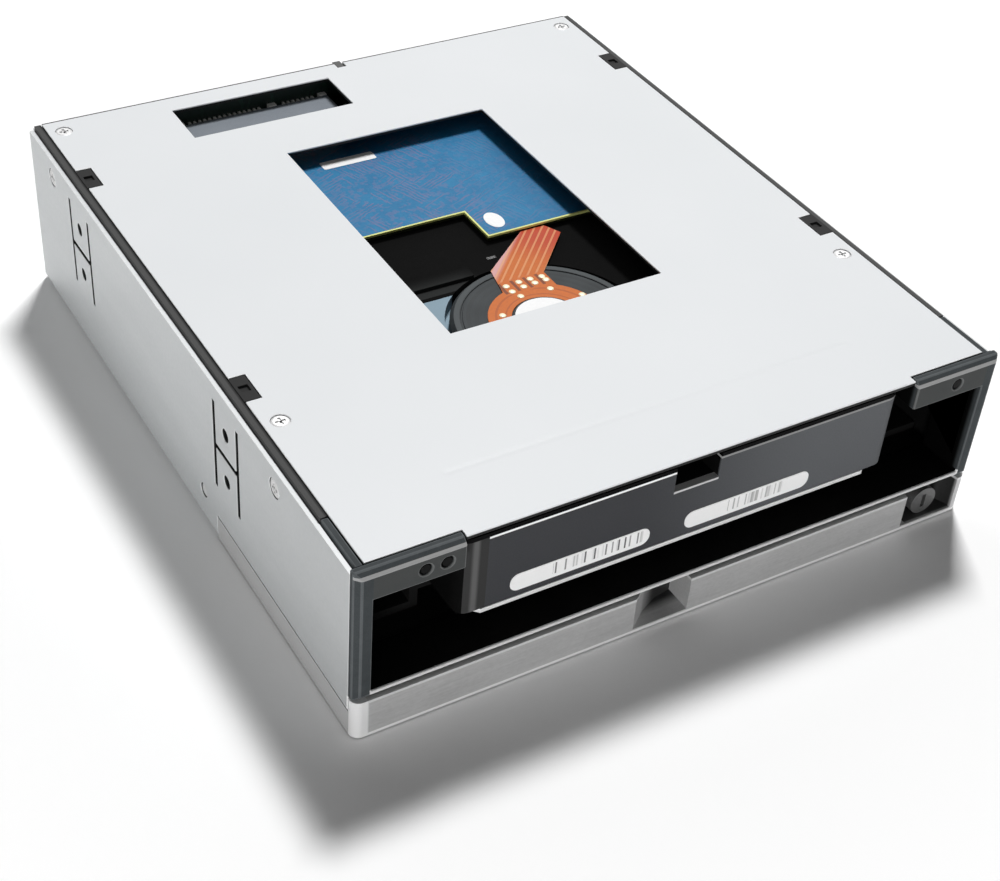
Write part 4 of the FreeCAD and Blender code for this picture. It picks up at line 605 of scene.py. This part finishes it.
def head_tree():
    """A pan head: a short cylinder with its top drawn in, and a cross cut out of it."""
    tree = Shape("pan_head", ("Radius", "Height", "Recess"))
    radius, height, recess = (tree.given[name] for name in ("Radius", "Height", "Recess"))
    rim = tree.node("GeometryNodeMeshCylinder", sockets={
        "Vertices": 24, "Radius": radius, "Depth": height * RIM})
    normal = tree.node("GeometryNodeInputNormal")
    rise = tree.node("ShaderNodeSeparateXYZ", sockets={0: normal}, out=2)
    top = tree.node("GeometryNodeExtrudeMesh", {"mode": "FACES"}, {
        "Mesh": rim, "Selection": rise > 0.9, "Offset Scale": height * CROWN, "Individual": False})
    ends = Value(tree, top.socket.node.outputs["Top"])
    domed = tree.node("GeometryNodeScaleElements", sockets={
        "Geometry": top, "Selection": ends, "Scale": CROWN_WIDTH})
    cut = tree.node("GeometryNodeMeshBoolean", {"operation": "DIFFERENCE"}, {"Mesh 1": domed})
    for size in ((recess, recess * BAR_WIDTH), (recess * BAR_WIDTH, recess)):
        bar = tree.node("GeometryNodeMeshCube", sockets={
            "Size": tree.vector(*size, height * BAR_HEIGHT)})
        bar = tree.moved(bar, Translation=tree.vector(0.0, 0.0, height * RIM))
        tree.tree.links.new(bar.socket, cut.socket.node.inputs["Mesh 2"])
    return tree.finish(cut)


def dome_tree():
    """A low round cap, for rivets and solder dots."""
    tree = Shape("low_dome", ("Radius", "Height"))
    radius, height = tree.given["Radius"], tree.given["Height"]
    ball = tree.node("GeometryNodeMeshUVSphere", sockets={
        "Segments": 16, "Rings": 8, "Radius": radius})
    return tree.finish(tree.moved(ball, Scale=tree.vector(1.0, 1.0, height / radius)))


pan_head, low_dome = head_tree(), dome_tree()


def scatter(name, tree, places, material, sizes):
    """Runs a tree on a cloud of (place, facing) points and keeps the result as plain mesh."""
    mesh = bpy.data.meshes.new(name)
    mesh.from_pydata([place for place, way in places], [], [])
    facing = mesh.attributes.new("facing", "FLOAT_VECTOR", "POINT")
    facing.data.foreach_set("vector", [number for place, way in places for number in way])
    piece = placed(name, mesh)
    modifier = piece.modifiers.new("spread", "NODES")
    modifier.node_group = tree
    given = {**sizes, "Material": material}
    for socket in tree.interface.items_tree:
        if socket.name in given:
            modifier[socket.identifier] = given[socket.name]
    return bake(piece)


print("nodes in the trees:", len(pan_head.nodes), "and", len(low_dome.nodes))

# %% [markdown]
# ## Where the screws sit
# A node of screws holds several loose ones, each a wide head on a narrow core. Their places
# could be typed in, but the solids have them: a mesh's loose parts are found by walking along
# its edges. A rule for each kind says which way its heads face, so the face lies at that end
# of the part's box, and the tree's head goes just under it. The hidden core is left off.

# %% Set the screws and rivets
def parts_of(node):
    """The middle and the lowest and highest corner of each loose part of a node."""
    solid = whole_mesh(node)
    left, found = set(solid.verts), []
    while left:
        part, edge_of = set(), [left.pop()]
        while edge_of:
            vertex = edge_of.pop()
            part.add(vertex)
            near = {edge.other_vert(vertex) for edge in vertex.link_edges} & left
            left -= near
            edge_of.extend(near)
        low = Vector([min(vertex.co[axis] for vertex in part) for axis in range(3)])
        high = Vector([max(vertex.co[axis] for vertex in part) for axis in range(3)])
        found.append(((low + high) / 2, low, high))
    solid.free()
    return sorted(found, key=lambda part: tuple(round(number, 5) for number in part[0]))


def head_places(node, outward, height):
    """Where the heads' middles lie and which way they face."""
    found = []
    for middle, low, high in parts_of(node):
        way = Vector(outward(middle))
        face = Vector([(high if way[axis] > 0 else low)[axis] if way[axis] else middle[axis]
                       for axis in range(3)])
        found.append((face - way * height * HEAD_TOP, way))
    return found


def head_radius(node):
    low, high = parts_of(node)[0][1:]
    return sorted(high - low)[1] / 2


def sideways(middle):
    return (math.copysign(1, middle.x), 0, 0)


def always(*way):
    """A rule by which every head faces the same way."""
    return lambda middle: way


for node, outward, height in (("plate_screws", always(0, 0, 1), 0.5 * MM),
                              ("side_screws", sideways, 0.5 * MM),
                              ("rear_screws", always(0, 1, 0), 1.3 * MM),
                              ("board_screws", always(0, 0, 1), 0.5 * MM),
                              ("lid_screws", always(0, 0, -1), 0.5 * MM)):
    radius, places = head_radius(node), head_places(node, outward, height)
    sizes = {"Radius": radius, "Height": height, "Recess": radius * 1.1}
    carry(scatter(f"{node}_heads", pan_head, places, screw_plate, sizes), node)
    print(node, len(places), "heads of radius", round(radius / MM, 2), "mm")
rivets = head_places("track_rivets", sideways, 0.6 * MM)
sizes = {"Radius": head_radius("track_rivets"), "Height": 0.4 * MM}
carry(scatter("track_rivet_heads", low_dome, rivets, screw_plate, sizes), "track_rivets")

# %% [markdown]
# ## Casting of the drive
# The drive is a black casting. Its coat is baked on and has a leathery feel, so its noise has
# lumps of two sizes. Its front is smoother and a dark grey that gets paler to the right, with a
# painted highlight along its top rim, a painted glint on its left post and a painted highlight
# on the lip under its grip; above the rim, under the plate, it is painted black as shade. The
# sunk bed round the motor is deep black but for a patch of bare metal, a faint painted sheen and
# a small painted glint, and the rounded edges get a paler coat, a painted highlight. All this
# could be painted by hand, but masks from position follow a change of size.

# %% The casting
motor_low, motor_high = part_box("motor_cap")
spindle = (motor_low + motor_high) / 2
casting_low, casting_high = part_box("drive_casting")
grip_left = -4 * MM
post_middle, post_right = off(casting_low.x, 3.6, 6.2)


def baked_coat(name, low, high, face_left, face_right):
    """Black, a dark grey front, painted highlights and shade, and a bare patch beside the motor."""
    finish = Finish(name)
    lumps, grain = finish.noise(2.2 * MM, 3), finish.noise(0.3 * MM, 2)
    across, along = finish.x - spindle.x, finish.y - spindle.y
    finish.base(lumps * 0.6 + grain * 0.4, low, high)
    # A faint painted sheen on the bed.
    sheen = finish.fade(along, 24.5 * MM, 18.5 * MM) * (along > 18 * MM)
    sheen = sheen * finish.fade(across, -3 * MM, -10 * MM)
    finish.paint(sheen * 0.3, shade(84, 86, 86))
    bare = between(along, 3 * MM, 16.8 * MM) * between(across, -31 * MM, -11.5 * MM)
    finish.paint(bare * 0.95, shade(152, 174, 188))
    # A small painted glint in the bed.
    bed_glint = between(across, 0.2 * MM, 2.4 * MM) * between(along, 25.4 * MM, 26.2 * MM)
    finish.paint(bed_glint * finish.fade(grain, 0.35, 0.6), grey(150))
    front = finish.y < casting_low.y + 0.4 * MM
    face = finish.blend(finish.fade(finish.x, -16 * MM, 34 * MM), face_left, face_right)
    face = finish.blend(grain * 0.25, face, grey(24))
    # A painted glint on the left post.
    glint = finish.fade(abs(finish.x - post_middle), 1.1 * MM, 0.2 * MM)
    post = finish.blend(glint * 0.7, grey(58), grey(112))
    face = finish.blend(finish.x < post_right, face, post)
    finish.paint(front, face)
    # Above the rim, under the plate, the front is painted black, a painted shade.
    near = finish.y < casting_low.y + 1.6 * MM
    finish.paint(near * (finish.z > casting_high.z - 1.0 * MM), grey(4))
    # The bright rim along the top is a painted highlight.
    rim = near * between(finish.z, *off(casting_high.z, -1.45, -0.95))
    bright = finish.fade(finish.x, grip_left + 12 * MM, grip_left)
    bright = finish.blend(bright, grey(150), grey(252))
    finish.paint(rim * (finish.x > post_right), bright)
    # The bright lip under the grip is a painted highlight.
    lip = near * between(finish.x, grip_left, grip_left + 10.4 * MM)
    lip = lip * between(finish.z, *off(casting_high.z, -6.5, -5.8))
    finish.paint(lip, grey(205))
    return finish.surface(0.76 - front * 0.3 + grain * 0.2, height=lumps + grain, gloss=0.05)


casting_coat = baked_coat("casting_coat", grey(4), grey(12),
                          shade(70, 71, 74), shade(104, 106, 109))
# The paler coat of the rounded edges is a painted highlight.
casting_edge = baked_coat("casting_edge", grey(16), grey(34),
                          shade(104, 106, 108), shade(138, 140, 142))
eased("drive_casting", casting_coat, 0.25, casting_edge)
print("casting:", in_mm(casting_high - casting_low), "mm")

# %% [markdown]
# ## The motor's cap
# The motor's cap is turned on a lathe, and so is this one: a profile of (radius, height) points
# is spun round the spindle. Blender's Screw modifier could spin it too, but a few loops show
# how a lathe works. A lathe leaves bands, so each ring of the finish has its own tone.

# %% The motor's cap
motor_radius = (motor_high.x - motor_low.x) / 2


def turned(name, profile, centre, material, steps=64):
    """A closed round piece: a profile spun round an upright line through a centre."""
    spun = bmesh.new()
    rings = []
    for radius, height in profile:
        around = range(steps) if radius > 0 else [0]
        rings.append([spun.verts.new((radius * math.cos(math.tau * turn / steps),
                                      radius * math.sin(math.tau * turn / steps), height))
                      for turn in around])
    for low, high in zip(rings, rings[1:]):
        for turn in range(steps):
            corners = [low[turn % len(low)], low[(turn + 1) % len(low)],
                       high[(turn + 1) % len(high)], high[turn % len(high)]]
            spun.faces.new(list(dict.fromkeys(corners)))
    bmesh.ops.translate(spun, vec=centre, verts=spun.verts)
    bmesh.ops.recalc_face_normals(spun, faces=spun.faces)
    piece = shaped(name, spun, material)
    piece.data.shade_smooth()
    piece.data.set_sharp_from_angle(angle=math.radians(35))
    return piece


def motor_finish():
    """Turned bands of grey, and a pale rim, which is a painted highlight."""
    finish = Finish("motor_anodised")
    away = finish.reach(spindle)
    turns = finish.chance((away / (0.9 * MM)).whole())
    rim = between(away, *off(motor_radius, -2.0, -0.9))
    clouds = finish.noise(7 * MM, 3)
    finish.base(turns * 0.35 + clouds * 0.65, shade(30, 34, 36), shade(72, 76, 78))
    # The pale rim is a painted highlight.
    finish.paint(rim * 0.4, shade(92, 98, 100))
    return finish.surface(0.52 + turns * 0.1, gloss=0.12)


def motor_profile():
    """The cap from its foot to the middle of its hub, with a turned groove near its rim."""
    foot, top = motor_low.z - spindle.z, motor_high.z - spindle.z
    face, hub, groove = top - 0.5 * MM, 7.4 * MM, motor_radius - 2.2 * MM
    floor = face - 0.2 * MM
    return [(0, foot), (motor_radius, foot),
            (motor_radius, face - 1.0 * MM), (motor_radius - 0.8 * MM, face),
            (groove, face), (groove - 0.1 * MM, floor),
            (groove - 0.4 * MM, floor), (groove - 0.5 * MM, face),
            (hub, face), (hub, top - 0.15 * MM), (hub - 0.15 * MM, top), (0, top)]


carry(turned("motor_cap_piece", motor_profile(), spindle, motor_finish()), "motor_cap")
print("motor:", round(motor_radius / MM, 1), "mm in radius, at", in_mm(spindle))

# %% [markdown]
# ## The circuit board
# A circuit board is glass laminate under a coloured mask. Under the mask, copper traces run in
# straight bundles, and they show as lines of another tone. To draw them, the board is split in
# random cells, each cell picks a direction, and a stripe pattern runs along it. Where the mask
# stops, the bare laminate shows as a thin yellow line.

# %% The board's mask, traces and edge
board_low, board_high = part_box("drive_board")
board_corners = {(round(corner.co.x, 5), round(corner.co.y, 5))
                 for corner in whole_mesh("drive_board").verts}
front_rows = sorted({y for x, y in board_corners if y < board_low.y + 12 * MM})
board_step = max(x for x, y in board_corners if abs(y - front_rows[-1]) < 0.01 * MM)


def traces_on(finish, width):
    """Bundles of slanted lines, broken up in patches, as a mask."""
    cell = finish.cells(9 * MM)
    wander = finish.noise(3 * MM, 2) * 1.6 * MM
    lanes = []
    for along in (finish.x * 0.9 + finish.y * 0.35, finish.x * 0.45 - finish.y):
        lane = (along + wander) / width
        lanes.append((lane.rest() < 0.4) * (finish.chance(lane.whole()) > 0.3))
    turned_cell = cell > 0.5
    patches = finish.fade(finish.noise(6 * MM, 3), 0.4, 0.52)
    return (lanes[0] * turned_cell + lanes[1] * (1 - turned_cell)) * patches


def blue_board():
    """Blue mask with violet traces, painted shade to the right and rear, and a yellow bare edge."""
    finish = Finish("blue_mask")
    clouds, speck = finish.noise(6 * MM, 4), finish.noise(0.8 * MM, 3)
    finish.base(clouds * 0.6 + speck * 0.4, shade(6, 88, 142), shade(46, 142, 186))
    blots = finish.fade(finish.noise(1.3 * MM, 4), 0.5, 0.62) * 0.6
    traces = traces_on(finish, 0.95 * MM).either(blots)
    middle = finish.fade(abs(finish.x + 5 * MM), 18 * MM, 11 * MM)
    finish.paint(traces * (0.2 + middle * 0.28), shade(132, 112, 150))
    # Painted shade of the plate, darker to the right and to the rear.
    right, rear = finish.fade(finish.x, 15 * MM, 30 * MM), finish.fade(finish.y, 38 * MM, 52 * MM)
    finish.paint(right.either(rear) * 0.35, shade(10, 42, 84))
    low_row, high_row, rim = front_rows[0], front_rows[-1], 0.45 * MM
    low_line = between(finish.y, low_row - rim, low_row + rim) * (finish.x > board_step - rim)
    high_line = between(finish.y, high_row - rim, high_row + rim) * (finish.x < board_step + rim)
    step_line = between(finish.x, board_step - rim, board_step + rim)
    step_line = step_line * between(finish.y, low_row - rim, high_row + rim)
    # Below the top, the board's edge is painted dark olive, a painted shade.
    under = finish.z < board_high.z - 0.5 * MM
    bare = finish.blend(under, shade(236, 240, 150), shade(30, 34, 16))
    finish.paint(low_line.either(high_line).either(step_line), bare)
    return finish.surface(0.4 + clouds * 0.15, height=traces, gloss=0.15)


def green_board():
    """A green mask painted very dark, a painted shade for its place inside the cage."""
    finish = Finish("green_mask")
    clouds, traces = finish.noise(5 * MM, 4), traces_on(finish, 0.9 * MM)
    finish.base(clouds, shade(5, 16, 13), shade(10, 26, 20))
    finish.paint(traces * 0.5, shade(22, 48, 36))
    return finish.surface(0.4 + clouds * 0.15, height=traces, gloss=0.25)


eased("drive_board", blue_board(), 0.08)
eased("backplane lamp_boards", green_board(), 0.08)
print("board front steps at", in_mm(front_rows), "beside", round(board_step / MM, 1))

# %% [markdown]
# ## The flexible circuit
# The motor's wires are printed on an amber film: a ring round the hub, and a tail that fans out
# to the board. Its copper shows through as paler lines along the tail and as darker combs and
# rings round the hub, and solder makes small bright domes where the coils end. The lines follow
# the tail's slant, so they are stripes of a slanted sum of two axes.

# %% The film, its lines and its solder
def amber_film():
    """Orange film that turns red towards the board, with pale lines along its slanted tail."""
    finish = Finish("amber_film")
    across, along = finish.x - spindle.x, finish.y - spindle.y
    diagonal = 0.71
    slant = across * -diagonal + along * diagonal
    lines = (slant / (1.55 * MM)).rest() < 0.3
    tail = finish.fade(along, 15 * MM, 16 * MM)
    glow = finish.fade(across + along, 24 * MM, 42 * MM)
    fibres = finish.noise(0.8 * MM, 3)
    finish.base(glow, shade(216, 112, 30), shade(198, 58, 14))
    finish.paint(fibres * 0.4, shade(150, 70, 20))
    pink = finish.fade(slant, 13.2 * MM, 14.6 * MM) * tail
    finish.paint(pink * 0.6, shade(232, 196, 206))
    finish.paint(lines * tail * 0.6, shade(236, 170, 118))
    slits = ((across + 3.7 * MM) / (3.05 * MM)).rest() < 0.24
    combs = slits * between(along, 11.0 * MM, 15.0 * MM) * between(across, -4 * MM, 8 * MM)
    finish.paint(combs * 0.8, shade(96, 40, 16))
    away = finish.reach(spindle)
    rings = between(away, 10.6 * MM, 11.1 * MM).either(between(away, 8.6 * MM, 8.95 * MM))
    finish.paint(rings * (along < 10.5 * MM) * 0.45, shade(150, 66, 22))
    return finish.surface(0.3 + fibres * 0.12, height=lines * tail, depth=0.05 * MM, gloss=0.2)


eased("motor_flex", amber_film(), 0.05)
solder = plated("solder", shade(240, 226, 176), shade(252, 246, 222), roughness=0.3, metal=0.1)
film_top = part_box("motor_flex")[1].z - 0.02 * MM
# Where the dots lie, in millimetres from the spindle.
solder_places = [(-2.2, 13.6), (1.1, 13.9), (3.9, 13.9), (6.7, 13.7), (-2.0, 11.4), (1.2, 12.0),
                 (4.1, 12.2), (6.9, 12.3), (-1.2, 9.2), (6.0, 9.0), (11.0, 4.3), (-8.2, 4.8)]
dots = [(Vector((spindle.x + x * MM, spindle.y + y * MM, film_top)), (0, 0, 1))
        for x, y in solder_places]
sizes = {"Radius": 0.78 * MM, "Height": 0.22 * MM}
ride_with(scatter("flex_solder", low_dome, dots, solder, sizes), "motor_flex")
print("solder dots:", len(dots))

# %% [markdown]
# ## Labels
# Two labels with rounded ends are stuck on the drive's front, and three small plain stickers on
# its board and motor. A label is a thin slab with a generic row of bars: the width of a label
# is cut in narrow lanes, and a random number for each lane decides how dark it is.

# %% Labels and stickers
def prism(name, outline, low, high, material, across=lambda flat, level: (*flat, level)):
    """A closed slab with a given outline between two levels."""
    slab = bmesh.new()
    rings = [[slab.verts.new(across(point, level)) for point in outline] for level in (low, high)]
    slab.faces.new(rings[0])
    slab.faces.new(rings[1])
    count = len(outline)
    for turn in range(count):
        after = (turn + 1) % count
        slab.faces.new([rings[0][turn], rings[0][after], rings[1][after], rings[1][turn]])
    bmesh.ops.recalc_face_normals(slab, faces=slab.faces)
    return shaped(name, slab, material)


def rounded_outline(left, low, right, high, radius, steps=8):
    """A rectangle with round corners, as a list of flat points."""
    centres = [(right - radius, high - radius), (left + radius, high - radius),
               (left + radius, low + radius), (right - radius, low + radius)]
    return [(centre[0] + radius * math.cos(math.pi / 2 * (corner + step / steps)),
             centre[1] + radius * math.sin(math.pi / 2 * (corner + step / steps)))
            for corner, centre in enumerate(centres) for step in range(steps + 1)]


def disc_outline(centre, across, along, steps=40):
    return [(centre[0] + across * math.cos(math.tau * turn / steps),
             centre[1] + along * math.sin(math.tau * turn / steps)) for turn in range(steps)]


def bar_label(name, left, right, low, high, start, bars, span):
    """Paper with thin bars of uneven tone over part of its width."""
    finish = Finish(name)
    lane = (finish.x - left) / (0.36 * MM)
    tone = finish.chance(lane.whole() + start)
    inside = between(finish.x, *[left + (right - left) * share for share in span])
    inside = inside * between(finish.z, low + 0.9 * MM, high - 0.5 * MM)
    fibres = finish.noise(0.5 * MM, 3)
    finish.base(fibres, grey(250), grey(255))
    finish.paint(finish.fade(tone, 0.42, 0.95) * inside, grey(bars))
    return finish.surface(0.6, height=fibres, depth=0.005 * MM)


def plain_paper():
    finish = Finish("white_paper")
    fibres = finish.noise(0.6 * MM, 3)
    finish.base(fibres, grey(238), grey(252))
    return finish.surface(0.5, height=fibres, depth=0.004 * MM)


label_low, label_high = off(casting_low.z, 1.4, 5.6)
# For each label: its ends in millimetres from the casting's left side, the grey of its bars,
# and the shares of its width between which they lie.
labels = (("left_label", 11.4, 42.4, 84, (0.3, 0.95)),
          ("right_label", 50.6, 80.8, 176, (0.34, 0.84)))
for name, left, right, bars, span in labels:
    left, right = casting_low.x + left * MM, casting_low.x + right * MM
    outline = rounded_outline(left, label_low, right, label_high, 1.9 * MM)
    paper = bar_label(f"{name}_paper", left, right, label_low, label_high, round(right / MM),
                      bars, span)
    ride_with(prism(name, outline, *off(casting_low.y, -0.1, -0.01), paper,
                    lambda flat, level: (flat[0], level, flat[1])), "drive_casting")

white_paper = plain_paper()
oval_centre = board_step + 4.5 * MM, front_rows[0] + 5.2 * MM
stickers = {"hub_sticker": (disc_outline(spindle, 6.9 * MM, 6.9 * MM),
                            motor_high.z, "motor_cap"),
            "oval_sticker": (disc_outline(oval_centre, 2.1 * MM, 3.1 * MM),
                             board_high.z, "drive_board"),
            "long_sticker": (rounded_outline(-17 * MM, 42.2 * MM, -3.6 * MM, 45.4 * MM, 0.5 * MM),
                             board_high.z, "drive_board")}
for name, (outline, level, node) in stickers.items():
    ride_with(prism(name, outline, level, level + 0.08 * MM, white_paper), node)
print("labels and stickers:", len(labels) + len(stickers))

# %% [markdown]
# ## Lamps and contacts
# The lamps are smoked light pipes, so they look black until they are lit. Their flat ends lie
# just behind the frame's face. The contacts of the drive's connector are flat tinned blades,
# which keep the solid's outline and get a rounded edge.

# %% Lamps and contacts
def smoked():
    finish = Finish("smoked_lens")
    swirl = finish.noise(1.5 * MM, 2)
    finish.base(swirl, grey(3), grey(12))
    return finish.surface(0.2, height=swirl, depth=0.01 * MM, gloss=0.06)


contact_plate = plated("contact_tin", shade(240, 239, 235), shade(254, 253, 250),
                       roughness=0.35, metal=0.1)
eased("status_lenses power_lens", smoked(), 0.2)
eased("receptacle_contacts", contact_plate, 0.06)
print("contacts:", len(parts_of("receptacle_contacts")))

# %% [markdown]
# ## Floor, light and camera
# The cage stands on a white table under two soft lamps. The key lamp, high behind the right
# rear corner, throws the shadow forward and to the left, and a small one low at the front left
# lights the side and the front. The world looks white to the camera and to glossy sides, but
# sends only a faint light into the shadow. Away from the cage the table glows a little, so it
# meets the white world without an edge.

# %% Floor, light and camera
WHITE = (1, 1, 1, 1)


def seen_by(recipe):
    """One for rays of the camera and for rays that a glossy or clear surface sends out."""
    rays = [recipe.node("ShaderNodeLightPath", out=f"Is {kind} Ray")
            for kind in ("Camera", "Glossy", "Transmission")]
    return rays[0].either(rays[1]).either(rays[2])


def studio_floor():
    """A white table that keeps the cage's shadow and glows more and more away from the cage."""
    table = Finish("table")
    paper = table.node("ShaderNodeBsdfDiffuse", sockets={"Color": WHITE})
    away = table.node("ShaderNodeVectorMath", {"operation": "LENGTH"}, {0: table.place},
                      out="Value")
    reach, rise, least = 0.12, 1.2, 0.02
    lift = (away > reach) * (away - reach) * rise + least
    glow = table.node("ShaderNodeEmission", sockets={
        "Color": WHITE, "Strength": seen_by(table) * lift})
    both = table.node("ShaderNodeAddShader", sockets={0: paper, 1: glow})
    table.end("ShaderNodeOutputMaterial", both)
    return table.material


half, thickness = 4.0, 0.02
corners = [(-half, -half), (half, -half), (half, half), (-half, half)]
prism("table_top", corners, -thickness, 0.0, studio_floor())

world = bpy.data.worlds.new("studio")
world.use_nodes = True
bpy.context.scene.world = world
studio = Recipe(world.node_tree)
studio.tree.nodes.clear()
fill = 0.085
studio.end("ShaderNodeOutputWorld", studio.node("ShaderNodeBackground", sockets={
    "Color": WHITE, "Strength": seen_by(studio) * (1 - fill) + fill}))


def lamp(name, way, distance, size, level):
    """A square soft lamp that points at the cage. White paper turned to it renders at the level."""
    data = bpy.data.lights.new(name, "AREA")
    data.size, data.energy = size, level * (math.pi * distance) ** 2
    made = placed(name, data)
    cage_middle = Vector((0, 0, 0.02))
    made.location = Vector(way).normalized() * distance + cage_middle
    made.rotation_euler = Vector(way).to_track_quat("Z", "Y").to_euler()


lamp("key_lamp", way=(0.32, 0.41, 0.855), distance=3.6, size=0.6, level=0.99)
lamp("side_lamp", way=(-0.6, -0.78, 0.045), distance=1.6, size=0.34, level=0.6)

camera_data = bpy.data.cameras.new("camera")
camera_data.lens, camera_data.sensor_width = 64.8, 36
camera = placed("camera", camera_data)
camera_place = (-0.17423, -0.27924, 0.25224)
camera_right, camera_up = (0.86208, -0.5026, 0.06499), (0.27624, 0.57355, 0.77119)
camera_back = (-0.42487, -0.64687, 0.63328)
turn = Matrix((camera_right, camera_up, camera_back)).transposed().to_4x4()
camera.matrix_world = Matrix.Translation(camera_place) @ turn
bpy.context.scene.camera = camera
bpy.context.scene.view_settings.view_transform = "Standard"
print("camera stands", round(camera.location.length, 3), "m from the cage's foot")
